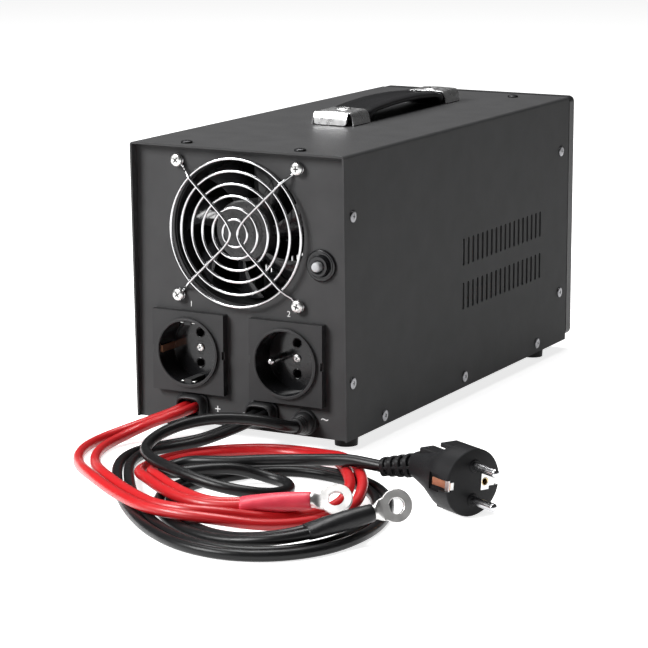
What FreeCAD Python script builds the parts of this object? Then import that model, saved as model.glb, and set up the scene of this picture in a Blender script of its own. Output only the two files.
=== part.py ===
import FreeCAD, Part
import math
import os
import re

import Sketcher

# Mains power inverter: steel case, rear panel with fan, breaker, two sockets and three cable glands,
# front bezel with display and switch, strap handle, the electronics inside, and the leads outside.
# +Z is up, +Y is the front. The origin is on the floor, midway along the case and its fittings.

os.makedirs("parts", exist_ok=True)
doc = FreeCAD.newDocument("inverter")
Vec = FreeCAD.Vector

SIZES = {
    # case
    "case_width": 146.5, "case_height": 171.5, "cover_depth": 329.0, "foot_height": 8.0,
    "sheet_thick": 1.2, "overhang_top": 6.4, "overhang_low": 2.8, "corner_radius": 2.0,
    "rear_reach": 14.0, "front_reach": 3.0, "flange_width": 12.0, "front_flange": 26.0, "tray_rise": 22.0,
    "groove_gap": 1.0, "bezel_thick": 8.0, "bezel_wall": 2.5, "bezel_raise": 2.5, "bezel_corner": 4.0,
    # feet and screws of the case
    "foot_radius": 7.5, "foot_taper": 0.5, "foot_x": 60.0, "foot_rear": 22.0, "foot_front_in": 27.0,
    "screw_radius": 1.9, "screw_gap": 0.1, "case_head_radius": 3.6, "case_head_height": 1.0,
    "side_screw_length": 8.0, "foot_head_height": 2.2, "head_room": 0.6,
    "top_screw_x": 39.0, "top_screw_rear": 4.0, "top_screw_front_in": 19.0, "top_screw_length": 4.5,
    "rear_screw_in": 5.2, "rear_screw_high": 134.9, "rear_screw_low": 34.7,
    "front_high_in": 13.0, "front_screw_high": 135.3, "front_low_in": 12.0, "front_screw_low": 35.9,
    "tray_screw_rear": 47.2, "tray_screw_middle": 162.0, "tray_screw_front": 279.0,
    "tray_rear_up": 6.0, "tray_middle_up": 7.0, "tray_front_up": 6.6,
    # side vents
    "vent_first": 159.0, "vent_pitch": 7.2, "vent_width": 2.8, "vent_tall": 17.8,
    "vent_low": 59.6, "vent_high": 88.4,
    # handle
    "handle_near": 115.0, "handle_far": 277.0, "handle_width": 30.0, "cap_length": 25.0,
    "cap_height": 8.2, "cap_wall": 2.0, "boss_radius": 3.6, "boss_proud": 2.0,
    "grip_thick": 5.0, "grip_width": 29.0, "grip_end_top": 8.7, "grip_mid_top": 11.6, "tongue_thick": 3.5,
    "tongue_gap": 0.3, "tongue_side": 0.5, "tongue_in": 2.0, "grip_gap": 0.6, "shoulder_out": 4.0,
    "arch_out": 9.0, "cap_screw_in": 17.0, "cap_round": 1.5, "boss_flare": 2.0, "handle_head_radius": 4.0,
    "handle_head_height": 1.6, "handle_screw_in": 8.0,
    # fan
    "fan_x": -1.1, "fan_up": 120.5, "fan_size": 92.0, "fan_depth": 25.0, "fan_corner_in": 4.75,
    "fan_wall": 2.0, "fan_margin": 1.0, "blade_gap": 2.0, "blade_thick": 1.8, "blade_root": 0.8,
    "blade_over": 0.5, "hub_radius": 18.0, "hub_length": 17.0, "hub_set": 4.5, "hub_face": 2.0,
    "shaft_in": 2.5, "mount_thick": 3.0, "mount_rim": 1.0, "strut_thick": 3.0, "strut_wide": 4.0,
    "shaft_radius": 2.0,
    "shaft_seat": 4.0, "running_gap": 0.05, "guard_wire": 0.9, "guard_stand": 4.2, "eye_gap": 0.3,
    "fan_screw_radius": 2.0, "fan_screw_gap": 0.15, "fan_head_radius": 4.0, "fan_head_height": 2.6,
    "fan_screw_tail": 4.0, "fan_nut_thick": 3.2,
    # breaker
    "breaker_x": 55.2, "breaker_up": 105.0, "breaker_flange": 9.75, "flange_thick": 2.0,
    "breaker_boss": 6.0, "boss_tall": 3.0, "collar_step": 0.6, "breaker_wide": 15.0, "breaker_deep": 30.0,
    "breaker_tall": 34.0, "throat_deep": 2.0, "button_room": 12.0, "button_radius": 3.0, "button_gap": 0.3,
    "button_proud": 8.5, "button_stop": 2.0, "stop_at": 8.0, "stop_wide": 1.0,
    # sockets
    "socket_size": 50.0, "socket_plate": 5.0, "socket_left_x": -34.8, "socket_right_x": 32.9,
    "socket_up": 44.6, "rim_radius": 21.5, "rim_proud": 2.0, "well_radius": 19.75, "well_depth": 17.5,
    "well_floor": 2.5, "terminal_size": 34.0, "terminal_deep": 18.0, "seat_gap": 0.1,
    "pin_pitch": 19.0, "pin_hole": 2.6, "pin_deep": 15.0, "earth_offset": 10.0, "earth_deep": 8.0,
    "earth_reach": 14.0, "rib_wide": 4.6, "rib_tall": 3.4, "rib_in": 1.2, "notch_wide": 2.4,
    "notch_deep": 1.6, "notch_tall": 5.0, "clip_in": 0.7, "clip_thick": 1.0, "clip_wide": 4.4,
    "socket_head_radius": 3.5, "socket_head_height": 1.7, "socket_screw_in": 12.0,
    # glands
    "gland_plus_x": -33.5, "gland_plus_up": 10.6, "gland_minus_x": 15.2, "gland_minus_up": 11.0,
    "gland_wide": 21.0, "gland_tall": 17.0, "gland_nose": 8.0, "gland_plate": 3.0, "gland_lip": 2.0,
    "nose_wide": 18.0, "nose_tall": 12.0, "neck_in": 0.7, "neck_gap": 0.2, "nose_wall": 1.5,
    "mouth_tall": 8.4, "mains_x": 44.5, "mains_up": 9.0, "mains_flange": 7.8, "relief_flange": 3.0,
    "relief_step": 1.0, "relief_wall": 1.2, "relief_neck": 5.8, "relief_lip": 7.0,
    # front fittings
    "fit_gap": 0.2, "window_wide": 64.0, "window_tall": 34.0, "window_up": 122.0, "window_thick": 2.0,
    "display_rim": 5.0, "display_gap": 0.3,
    "switch_x": 35.0, "switch_up": 37.0, "switch_wide": 31.0, "switch_tall": 26.0, "rocker_wide": 27.0,
    "rocker_half": 9.8, "rocker_rise": 6.5, "rocker_tilt": 10.0, "rocker_gap": 0.3, "rocker_dip": 1.5,
    "rocker_flank": 0.8, "rocker_waist": 1.0, "rocker_root": 4.0, "root_half": 3.0, "switch_wall": 1.5,
    "switch_deep": 12.0, "switch_floor": 4.0, "switch_flange": 2.0, "switch_lip": 1.5,
    "pivot_radius": 1.5, "pivot_reach": 1.2,
    # inside
    "core_radius": 56.0, "core_bore": 20.0, "core_tall": 48.0, "core_round": 8.0, "core_at": 255.0,
    "pad_thick": 2.0, "pad_in": 6.0, "bolt_radius": 4.0, "bolt_gap": 0.1, "bolt_head": 6.5,
    "bolt_head_tall": 3.0, "bolt_tail": 15.0, "dish_radius": 30.0, "dish_thick": 2.5, "nut_radius": 7.5,
    "nut_tall": 6.5,
    "board_width": 118.0, "board_near": 55.0, "board_far": 190.0, "board_thick": 1.6,
    "standoff_tall": 8.0, "standoff_radius": 3.5, "standoff_side": 6.0, "standoff_near": 7.0,
    "standoff_far": 8.0, "sink_thick": 8.0, "sink_tall": 60.0, "sink_near": 60.0, "sink_long": 84.0,
    "sink_x": 46.0, "sink_plate": 3.0, "fin_pitch": 9.0, "fin_thick": 1.5, "fin_up": 3.0, "fin_root": 1.0,
    "package_thick": 4.4, "package_wide": 10.0, "package_tall": 15.0, "package_up": 4.0,
    "package_first": 6.0, "package_pitch": 20.0, "leg_thick": 0.8, "leg_wide": 6.0, "leg_into": 0.5,
    "capacitor_radius": 9.0, "capacitor_tall": 34.0, "capacitor_x": 12.0, "capacitor_near": 90.0,
    "capacitor_far": 114.0,
    "card_x": 54.0, "card_near": 152.0, "card_long": 36.0, "card_tall": 96.0, "relay_deep": 13.4,
    "relay_long": 26.0, "relay_tall": 17.0, "relay_up": 26.0, "relay_pitch": 20.0,
    # leads and plug
    "battery_lead": 3.1, "mains_lead": 3.4, "winding_lead": 1.6, "inner_spread": 3.4, "battery_drop": 3.0,
    "mains_drop": 2.0,
    "ring_radius": 9.25, "ring_hole": 4.3, "lug_thick": 2.2, "lug_reach": 50.0, "palm_wide": 12.0,
    "palm_long": 10.0, "palm_out": 6.0, "barrel_radius": 4.0, "barrel_out": 2.5, "sleeve_length": 36.0,
    "sleeve_wall": 0.8, "sleeve_wide": 7.2, "sleeve_tall": 4.3, "sleeve_mid_wide": 6.2,
    "sleeve_mid_tall": 5.0,
    "plug_radius": 19.0, "plug_length": 42.0, "plug_rim": 16.0, "plug_neck": 9.5, "taper_step": 2.0,
    "plug_pin": 2.4, "plug_pin_length": 19.0, "earth_bore": 2.9, "earth_bore_deep": 14.0,
    "guide_wide": 7.0, "guide_size": 5.0, "guide_in": 1.0, "guide_long": 18.0, "boot_wall": 1.4,
    "boot_end": 8.5, "boot_long": 28.0, "plug_clip_thick": 1.2, "plug_clip_long": 17.0, "plug_clip_in": 2.9,
}

# Places worked out from the sizes above
DERIVED = {
    "depth_all": "rear_reach + cover_depth + groove_gap + bezel_thick + front_reach",
    "panel_y": "rear_reach - depth_all / 2",
    "front_y": "panel_y + cover_depth + groove_gap",
    "face_y": "front_y + bezel_thick",
    "floor_z": "foot_height + sheet_thick",
    "top_z": "foot_height + case_height",
    "roof_z": "top_z - sheet_thick",
    "inner_x": "case_width / 2 - sheet_thick",
    "flange_x": "inner_x - sheet_thick",
    "fan_z": "foot_height + fan_up",
    "inside_y": "panel_y + sheet_thick",
    "fan_pitch": "fan_size - 2 * fan_corner_in",
    "fan_bore_radius": "fan_size / 2 - fan_wall",
    "rotor_radius": "fan_bore_radius - blade_gap",
    "breaker_z": "foot_height + breaker_up",
    "socket_z": "foot_height + socket_up",
    "well_y": "panel_y - socket_plate - rim_proud + well_depth",
    "board_z": "floor_z + standoff_tall",
    "deck_z": "board_z + board_thick",
    "core_z": "floor_z + pad_thick",
    "core_y": "panel_y + core_at",
    "window_z": "foot_height + window_up",
    "switch_z": "foot_height + switch_up",
    "mains_z": "foot_height + mains_up",
    "shank_hole": "screw_radius + screw_gap",
    "through_sheet": "4 * sheet_thick",
    "through_case": "2 * case_width",
    "foot_front": "cover_depth - foot_front_in",
    "top_screw_front": "cover_depth - top_screw_front_in",
    "pivot_y": "face_y + front_reach - rocker_rise * cos(rocker_tilt) - rocker_half * sin(rocker_tilt)",
    "cap_near_y": "panel_y + handle_near",
    "cap_far_y": "panel_y + handle_far",
    "through_cap": "3 * cap_height",
}

sheet = doc.addObject("Spreadsheet::Sheet", "Sizes")
for row, (alias, number) in enumerate(SIZES.items(), start=1):
    sheet.set(f"A{row}", alias)
    sheet.set(f"B{row}", str(number))
    sheet.setAlias(f"B{row}", alias)
doc.recompute()


# ---------------------------------------------------------------- helpers

def formula(text):
    """Turns size words into references to the sheet."""
    def swap(match):
        word = match.group(0)
        if word in DERIVED:
            return "(" + formula(DERIVED[word]) + ")"
        if word in SIZES:
            return "Sizes." + word
        return word
    return re.sub(r"[a-z][a-z_0-9]*", swap, str(text))


def value(text):
    return float(sheet.evalExpression(formula(text)))


def bind(thing, **sizes):
    for prop, text in sizes.items():
        thing.setExpression(prop.replace("__", "."), formula(text))
    return thing


def place(thing, x, y, z, rotation=None):
    thing.Placement = FreeCAD.Placement(Vec(0, 0, 0), rotation or FreeCAD.Rotation())
    return bind(thing, Placement__Base__x=x, Placement__Base__y=y, Placement__Base__z=z)


AXES = {"x": Vec(1, 0, 0), "y": Vec(0, 1, 0), "z": Vec(0, 0, 1),
        "-x": Vec(-1, 0, 0), "-y": Vec(0, -1, 0), "-z": Vec(0, 0, -1)}


def box(x, y, z, wide, deep, tall, label="block"):
    """A box centred on x, starting at y and z."""
    made = bind(doc.addObject("Part::Box", label), Length=wide, Width=deep, Height=tall)
    return place(made, f"{x} - ({wide}) / 2", y, z)


def rod(x, y, z, radius, length, axis="z", label="rod"):
    """A cylinder that starts at a point and runs along an axis."""
    made = bind(doc.addObject("Part::Cylinder", label), Radius=radius, Height=length)
    return place(made, x, y, z, FreeCAD.Rotation(Vec(0, 0, 1), AXES[axis]))


def cone(x, y, z, radius, end_radius, length, axis="z", label="cone"):
    made = bind(doc.addObject("Part::Cone", label), Radius1=radius, Radius2=end_radius, Height=length)
    return place(made, x, y, z, FreeCAD.Rotation(Vec(0, 0, 1), AXES[axis]))


def ring(x, y, z, radius, wire, label="ring"):
    """A wire ring facing along Y."""
    made = bind(doc.addObject("Part::Torus", label), Radius1=radius, Radius2=wire)
    return place(made, x, y, z, FreeCAD.Rotation(Vec(0, 0, 1), AXES["y"]))


def fuse(label, pieces):
    made = doc.addObject("Part::MultiFuse", label)
    made.Shapes = pieces
    return made


def group(label, pieces):
    made = doc.addObject("Part::Compound", label)
    made.Links = pieces
    return made


def cut(label, base, tools):
    made = doc.addObject("Part::Cut", label)
    made.Base = base
    made.Tool = tools[0] if len(tools) == 1 else fuse(label + "_tools", tools)
    return made


def shaped(label, shape):
    """A sub-part whose outline neither primitives nor sketches fit."""
    made = doc.addObject("Part::Feature", label)
    made.Shape = shape
    return made


def new_body(label):
    made = doc.addObject("PartDesign::Body", label)
    made.Placement = FreeCAD.Placement()
    return made


def sketch_on(body, role, offset="0"):
    plane = [item for item in body.Origin.OriginFeatures if item.Role == role][0]
    made = body.newObject("Sketcher::SketchObject", body.Name + "_sketch")
    made.AttachmentSupport = [(plane, "")]
    made.MapMode = "FlatFace"
    return bind(made, AttachmentOffset__Base__z=offset)


def fix(sketch, geometry, point, across, up):
    """Holds one point of a sketch at two bound distances from its origin."""
    for kind, text in (("DistanceX", across), ("DistanceY", up)):
        start = sketch.getPoint(geometry, point)
        now = start.x if kind == "DistanceX" else start.y
        index = sketch.addConstraint(Sketcher.Constraint(kind, -1, 1, geometry, point, now))
        sketch.setExpression(f"Constraints[{index}]", formula(text))


def outline(sketch, corners):
    """A closed outline of lines; a corner with a third entry starts an arc through that point."""
    spots = [Vec(value(corner[0]), value(corner[1]), 0) for corner in corners]
    made = []
    for index, corner in enumerate(corners):
        here, there = spots[index], spots[(index + 1) % len(spots)]
        if len(corner) == 3:
            through = Vec(value(corner[2][0]), value(corner[2][1]), 0)
            arc = Part.Arc(here, through, there)
            made.append(sketch.addGeometry(arc, False))
        else:
            made.append(sketch.addGeometry(Part.LineSegment(here, there), False))
    # an arc's own start and end can be swapped, so each end is matched by place
    for index, corner in enumerate(corners):
        here, before = made[index], made[index - 1]
        at_here = 1 if sketch.getPoint(here, 1).distanceToPoint(spots[index]) < 1e-4 else 2
        at_before = 2 if sketch.getPoint(before, 2).distanceToPoint(spots[index]) < 1e-4 else 1
        sketch.addConstraint(Sketcher.Constraint("Coincident", here, at_here, before, at_before))
        fix(sketch, here, at_here, corner[0], corner[1])
    for index, corner in enumerate(corners):
        if len(corner) == 3:
            through = Vec(value(corner[2][0]), value(corner[2][1]), 0)
            mark = sketch.addGeometry(Part.Point(through), True)
            sketch.addConstraint(Sketcher.Constraint("PointOnObject", mark, 1, made[index]))
            fix(sketch, mark, 1, corner[2][0], corner[2][1])
    return sketch


def rectangle(sketch, across, up, wide, tall):
    low_x, high_x = f"({across}) - ({wide}) / 2", f"({across}) + ({wide}) / 2"
    low_y, high_y = f"({up}) - ({tall}) / 2", f"({up}) + ({tall}) / 2"
    return outline(sketch, [(low_x, low_y), (high_x, low_y), (high_x, high_y), (low_x, high_y)])


def round_slot(sketch, across, up, wide, tall):
    """An upright slot with round ends."""
    left, right = f"({across}) - ({wide}) / 2", f"({across}) + ({wide}) / 2"
    high, low = f"({up}) + ({tall}) / 2 - ({wide}) / 2", f"({up}) - ({tall}) / 2 + ({wide}) / 2"
    return outline(sketch, [
        (left, low, (across, f"({up}) - ({tall}) / 2")), (right, low),
        (right, high, (across, f"({up}) + ({tall}) / 2")), (left, high)])


def flat_slot(sketch, across, up, wide, tall):
    """A slot with round ends, lying down."""
    low, high = f"({up}) - ({tall}) / 2", f"({up}) + ({tall}) / 2"
    left, right = f"({across}) - ({wide}) / 2 + ({tall}) / 2", f"({across}) + ({wide}) / 2 - ({tall}) / 2"
    return outline(sketch, [
        (left, low), (right, low, (f"({across}) + ({wide}) / 2", up)),
        (right, high), (left, high, (f"({across}) - ({wide}) / 2", up))])


def disc(sketch, across, up, radius):
    spot = Vec(value(across), value(up), 0)
    made = sketch.addGeometry(Part.Circle(spot, Vec(0, 0, 1), value(radius)), False)
    fix(sketch, made, 3, across, up)
    index = sketch.addConstraint(Sketcher.Constraint("Radius", made, value(radius)))
    sketch.setExpression(f"Constraints[{index}]", formula(radius))
    return sketch


def pad(body, sketch, length, back=False, both=False):
    made = body.newObject("PartDesign::Pad", body.Name + "_pad")
    made.Profile = sketch
    made.Reversed = back
    if both:
        made.SideType = "Symmetric"
    bind(made, Length=length)
    doc.recompute()
    return made


def pocket(body, sketch, length, back=False, both=False):
    before = body.Shape.Volume
    made = body.newObject("PartDesign::Pocket", body.Name + "_pocket")
    made.Profile = sketch
    made.Reversed = back
    if both:
        made.SideType = "Symmetric"
    bind(made, Length=length)
    doc.recompute()
    if body.Shape.Volume > before - 0.01:
        raise RuntimeError(body.Name + ": a pocket cut nothing")
    return made


def row_of(body, feature, sketch, count, pitch):
    made = body.newObject("PartDesign::LinearPattern", body.Name + "_row")
    made.Originals = [feature]
    made.Direction = (sketch, ["H_Axis"])
    made.Occurrences = count
    bind(made, Length=f"({pitch}) * {count - 1}")
    body.Tip = made
    doc.recompute()
    return made


def round_edges(body, radius, wanted):
    """Fillets the edges of a body that a test picks."""
    names = [f"Edge{n}" for n, edge in enumerate(body.Shape.Edges, start=1) if wanted(edge)]
    if not names:
        raise RuntimeError(body.Name + ": no edge to round")
    base = body.Tip
    made = body.newObject("PartDesign::Fillet", body.Name + "_fillet")
    made.Base = (base, names)
    bind(made, Radius=radius)
    body.Tip = made
    doc.recompute()
    return made


def along(edge, axis):
    if not isinstance(edge.Curve, Part.Line):
        return False
    run = edge.Vertexes[-1].Point - edge.Vertexes[0].Point
    return abs(run.normalize() * axis) > 0.999


def level(edge, height):
    return abs(edge.CenterOfMass.z - value(height)) < 0.1


def tube(points, radius):
    """A round lead along straight runs joined by tangent arcs; returns its solid, radii and length."""
    spots = [Vec(*point) for point in points]
    edges, radii = [], []
    last = spots[0]
    for before, here, after in zip(spots, spots[1:], spots[2:]):
        back, ahead = before - here, after - here
        reach = 0.45 * min(back.Length, ahead.Length)
        back.normalize()
        ahead.normalize()
        turn = math.pi - back.getAngle(ahead)
        arc_radius = reach / math.tan(turn / 2)
        radii.append(arc_radius)
        middle = back + ahead
        middle.normalize()
        centre = here + middle * (arc_radius / math.cos(turn / 2))
        start, end = here + back * reach, here + ahead * reach
        edges.append(Part.LineSegment(last, start).toShape())
        edges.append(Part.Arc(start, centre - middle * arc_radius, end).toShape())
        last = end
    edges.append(Part.LineSegment(last, spots[-1]).toShape())
    path = Part.Wire(edges)
    section = Part.Wire(Part.makeCircle(radius, spots[0], spots[1] - spots[0]))
    return path.makePipeShell([section], True, False), radii, path.Length


NODES = []


def node(thing):
    NODES.append(thing)
    return thing


def pan_screw(x, y, z, axis, length, head_radius="case_head_radius", head_height="case_head_height"):
    """A pan-head screw: the shank runs along the axis from its seat, and the head stands the other way."""
    shank = rod(x, y, z, "screw_radius", length, axis, "shank")
    head = rod(x, y, z, head_radius, head_height, axis[1:] if axis[0] == "-" else "-" + axis, "head")
    return fuse("screw", [shank, head])


# ---------------------------------------------------------------- case

# Distance from the rear panel, height above the case bottom, and the sheet under the cover that it holds
SIDE_SCREWS = [
    ("rear_screw_in", "rear_screw_high", "rear"), ("rear_screw_in", "rear_screw_low", "rear"),
    ("tray_screw_rear", "tray_rear_up", "tray"), ("tray_screw_middle", "tray_middle_up", "tray"),
    ("tray_screw_front", "tray_front_up", "tray"),
    ("cover_depth - front_high_in", "front_screw_high", "front"),
    ("cover_depth - front_low_in", "front_screw_low", "front")]
TOP_SCREWS = [("-top_screw_x", "top_screw_rear"), ("top_screw_x", "top_screw_rear"),
              ("-top_screw_x", "top_screw_front"), ("top_screw_x", "top_screw_front")]
FEET = [(x, y) for x in ("-foot_x", "foot_x") for y in ("foot_rear", "foot_front")]
CAP_SCREWS = ("cap_near_y + cap_screw_in", "cap_far_y - cap_screw_in")
CORNERS = [(side, up) for side in (-1, 1) for up in (-1, 1)]
VENTS = 18


def side_holes(body, held):
    """Holes through both sides for the screws that hold the named sheets."""
    sides = sketch_on(body, "YZ_Plane")
    for depth, up, sheet_name in SIDE_SCREWS:
        if sheet_name in held:
            disc(sides, f"panel_y + {depth}", f"foot_height + {up}", "shank_hole")
    pocket(body, sides, "through_case", both=True)


def top_holes(body, plane_z, depths):
    holes = sketch_on(body, "XY_Plane", plane_z)
    for x, depth in TOP_SCREWS:
        if depth in depths:
            disc(holes, x, f"panel_y + {depth}", "shank_hole")
    return holes


def base_tray():
    made = new_body("base_tray")
    sketch = sketch_on(made, "XZ_Plane", "-(panel_y + sheet_thick)")
    outline(sketch, [
        ("-inner_x", "foot_height"), ("inner_x", "foot_height"), ("inner_x", "foot_height + tray_rise"),
        ("flange_x", "foot_height + tray_rise"), ("flange_x", "floor_z"), ("-flange_x", "floor_z"),
        ("-flange_x", "foot_height + tray_rise"), ("-inner_x", "foot_height + tray_rise")])
    pad(made, sketch, "cover_depth + groove_gap - 2 * sheet_thick", back=True)
    holes = sketch_on(made, "XY_Plane", "foot_height")
    for x, y in FEET:
        disc(holes, x, f"panel_y + {y}", "shank_hole")
    disc(holes, "0", "core_y", "bolt_radius + bolt_gap")
    pocket(made, holes, "through_sheet", both=True)
    side_holes(made, ("tray",))
    return made


def end_panel(label, y, inward, reach):
    """An upright plate with side and top flanges; inward is +1 for the rear panel, -1 for the front."""
    made = new_body(label)
    plate = sketch_on(made, "XZ_Plane", f"-({y})")
    rectangle(plate, "0", "(foot_height + roof_z) / 2", "inner_x * 2", "roof_z - foot_height")
    pad(made, plate, "sheet_thick", back=inward > 0)
    flange = sketch_on(made, "XZ_Plane", f"-({y} + {inward} * sheet_thick)")
    low = "foot_height + tray_rise + sheet_thick"
    outline(flange, [
        ("-inner_x", low), ("-flange_x", low), ("-flange_x", "roof_z - sheet_thick"),
        ("flange_x", "roof_z - sheet_thick"), ("flange_x", low), ("inner_x", low), ("inner_x", "roof_z"),
        ("-inner_x", "roof_z")])
    pad(made, flange, reach, back=inward > 0)
    end = "rear" if inward > 0 else "front"
    side_holes(made, (end,))
    pocket(made, top_holes(made, "roof_z", (f"top_screw_{end}",)), "through_sheet", both=True)
    return made


def rear_panel():
    made = end_panel("rear_panel", "panel_y", 1, "flange_width")
    cuts = sketch_on(made, "XZ_Plane", "-panel_y")
    disc(cuts, "fan_x", "fan_z", "fan_bore_radius + fan_margin")
    for side, up in CORNERS:
        disc(cuts, *fan_corner(side, up), "fan_screw_radius + fan_screw_gap")
    disc(cuts, "breaker_x", "breaker_z", "breaker_boss - collar_step + seat_gap")
    for x in ("socket_left_x", "socket_right_x"):
        disc(cuts, x, "socket_z", "rim_radius + seat_gap")
    for x, up in (("gland_plus_x", "gland_plus_up"), ("gland_minus_x", "gland_minus_up")):
        flat_slot(cuts, x, f"foot_height + {up}", "nose_wide - 2 * (neck_in - neck_gap)",
                  "nose_tall - 2 * (neck_in - neck_gap)")
    disc(cuts, "mains_x", "mains_z", "relief_neck + neck_gap")
    pocket(made, cuts, "through_sheet", both=True)
    return made


def front_panel():
    made = end_panel("front_panel", "front_y", -1, "front_flange")
    cuts = sketch_on(made, "XZ_Plane", "-front_y")
    rectangle(cuts, "switch_x", "switch_z", "switch_wide + 2 * fit_gap", "switch_tall + 2 * fit_gap")
    pocket(made, cuts, "through_sheet", both=True)
    return made


def front_bezel():
    made = new_body("front_bezel")
    low = "foot_height + bezel_raise"
    face = sketch_on(made, "XZ_Plane", "-front_y")
    rectangle(face, "0", f"(top_z + {low}) / 2", "case_width", f"top_z - ({low})")
    pad(made, face, "bezel_thick", back=True)
    round_edges(made, "bezel_corner", lambda edge: along(edge, AXES["y"]))
    hollow = sketch_on(made, "XZ_Plane", "-front_y")
    rectangle(hollow, "0", f"(top_z + {low}) / 2", "case_width - 2 * bezel_corner",
              f"top_z - ({low}) - 2 * bezel_corner")
    pocket(made, hollow, "bezel_thick - bezel_wall")
    cuts = sketch_on(made, "XZ_Plane", "-front_y")
    rectangle(cuts, "0", "window_z", "window_wide + 2 * fit_gap", "window_tall + 2 * fit_gap")
    rectangle(cuts, "switch_x", "switch_z", "switch_wide + 2 * fit_gap", "switch_tall + 2 * fit_gap")
    pocket(made, cuts, "2 * bezel_thick")
    return made


def top_cover():
    made = new_body("top_cover")
    skin = sketch_on(made, "XZ_Plane", "-(panel_y - overhang_top)")
    outline(skin, [
        ("-case_width / 2", "foot_height"), ("-inner_x", "foot_height"), ("-inner_x", "roof_z"),
        ("inner_x", "roof_z"), ("inner_x", "foot_height"), ("case_width / 2", "foot_height"),
        ("case_width / 2", "top_z"), ("-case_width / 2", "top_z")])
    pad(made, skin, "cover_depth + overhang_top", back=True)
    round_edges(made, "corner_radius", lambda edge: along(edge, AXES["y"]) and level(edge, "top_z"))
    slant = sketch_on(made, "YZ_Plane")
    outline(slant, [
        ("panel_y - 2 * overhang_top", "foot_height - sheet_thick"),
        ("panel_y - overhang_low", "foot_height - sheet_thick"),
        ("panel_y - overhang_top", "top_z"), ("panel_y - 2 * overhang_top", "top_z")])
    pocket(made, slant, "through_case", both=True)
    for low in ("vent_low", "vent_high"):
        slot = sketch_on(made, "YZ_Plane")
        round_slot(slot, "panel_y + vent_first", f"{low} + vent_tall / 2", "vent_width", "vent_tall")
        opened = pocket(made, slot, "through_case", both=True)
        row_of(made, opened, slot, VENTS, "vent_pitch")
    side_holes(made, ("rear", "tray", "front"))
    tops = top_holes(made, "top_z", ("top_screw_rear", "top_screw_front"))
    for y in CAP_SCREWS:
        disc(tops, "0", y, "shank_hole")
    pocket(made, tops, "through_sheet", both=True)
    return made


def rubber_feet():
    made = []
    for x, y in FEET:
        depth = f"panel_y + {y}"
        foot = cone(x, depth, "0", "foot_radius - foot_taper", "foot_radius", "foot_height", label="foot")
        well = rod(x, depth, "0", "case_head_radius + head_room", "foot_height / 2", label="well")
        hole = rod(x, depth, "0", "shank_hole", "foot_height", label="hole")
        made.append(cut("foot_cut", foot, [well, hole]))
    return group("rubber_feet", made)


def foot_screws():
    made = []
    for x, y in FEET:
        made.append(pan_screw(x, f"panel_y + {y}", "foot_height / 2", "z", "foot_height",
                              head_height="foot_head_height"))
    return group("foot_screws", made)


def side_screws():
    made = []
    for side, axis in ((1, "-x"), (-1, "x")):
        for y, up, _ in SIDE_SCREWS:
            made.append(pan_screw(f"{side} * case_width / 2", f"panel_y + {y}", f"foot_height + {up}", axis,
                                  "side_screw_length"))
    return group("side_screws", made)


def top_screws():
    made = [pan_screw(x, f"panel_y + {y}", "top_z", "-z", "top_screw_length") for x, y in TOP_SCREWS]
    return group("top_screws", made)


# ---------------------------------------------------------------- handle

def handle_cap(label, end_y, open_y, screw_y):
    """A cap screwed to the lid, open towards the strap, with a post round its screw."""
    middle = f"(({end_y}) + ({open_y})) / 2"
    side = "-1" if label.endswith("rear") else "1"
    made = new_body(label)
    block = sketch_on(made, "XY_Plane", "top_z")
    rectangle(block, "0", middle, "handle_width", "cap_length")
    pad(made, block, "cap_height")
    round_edges(made, "cap_round", lambda edge: level(edge, "top_z + cap_height"))
    room = sketch_on(made, "XY_Plane", "top_z")
    rectangle(room, "0", f"{middle} - {side} * cap_wall", "handle_width - 2 * cap_wall", "cap_length")
    pocket(made, room, "cap_height - cap_wall", back=True)
    post = sketch_on(made, "XY_Plane", "top_z")
    disc(post, "0", screw_y, "boss_radius")
    pad(made, post, "cap_height")
    boss = sketch_on(made, "XY_Plane", "top_z + cap_height")
    disc(boss, "0", screw_y, "boss_radius + boss_flare")
    pad(made, boss, "boss_proud")
    hole = sketch_on(made, "XY_Plane", "top_z")
    disc(hole, "0", screw_y, "shank_hole")
    pocket(made, hole, "through_cap", back=True)
    return made


def handle_grip():
    made = new_body("handle_grip")
    near, far = "cap_near_y + cap_length", "cap_far_y - cap_length"
    middle = f"(({near}) + ({far})) / 2"
    low, tongue = "top_z + tongue_gap", "top_z + tongue_gap + tongue_thick"
    under = "top_z + grip_end_top - grip_thick"
    tip_near, tip_far = "cap_near_y + cap_wall + tongue_in", "cap_far_y - cap_wall - tongue_in"
    side = sketch_on(made, "YZ_Plane")
    outline(side, [
        (tip_near, low), (f"{near} + shoulder_out", low),
        (f"{near} + arch_out", under, (middle, "top_z + grip_mid_top - grip_thick")),
        (f"{far} - arch_out", under), (f"{far} - shoulder_out", low), (tip_far, low), (tip_far, tongue),
        (f"{far} - grip_gap", tongue),
        (f"{far} - grip_gap", "top_z + grip_end_top", (middle, "top_z + grip_mid_top")),
        (f"{near} + grip_gap", "top_z + grip_end_top"), (f"{near} + grip_gap", tongue), (tip_near, tongue)])
    pad(made, side, "grip_width", both=True)
    trim = sketch_on(made, "XY_Plane", "top_z")
    tongue_wide = "handle_width - 2 * (cap_wall + tongue_side)"
    for start, end in (("cap_near_y", f"{near} + grip_gap"), (f"{far} - grip_gap", "cap_far_y")):
        for across in (-1, 1):
            rectangle(trim, f"{across} * ({tongue_wide} + cap_height) / 2", f"(({start}) + ({end})) / 2",
                      "cap_height", f"({end}) - ({start})")
    pocket(made, trim, "through_cap", back=True)
    holes = sketch_on(made, "XY_Plane", "top_z")
    for y in CAP_SCREWS:
        disc(holes, "0", y, "boss_radius + grip_gap")
    pocket(made, holes, "through_cap", back=True)
    return made


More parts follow.
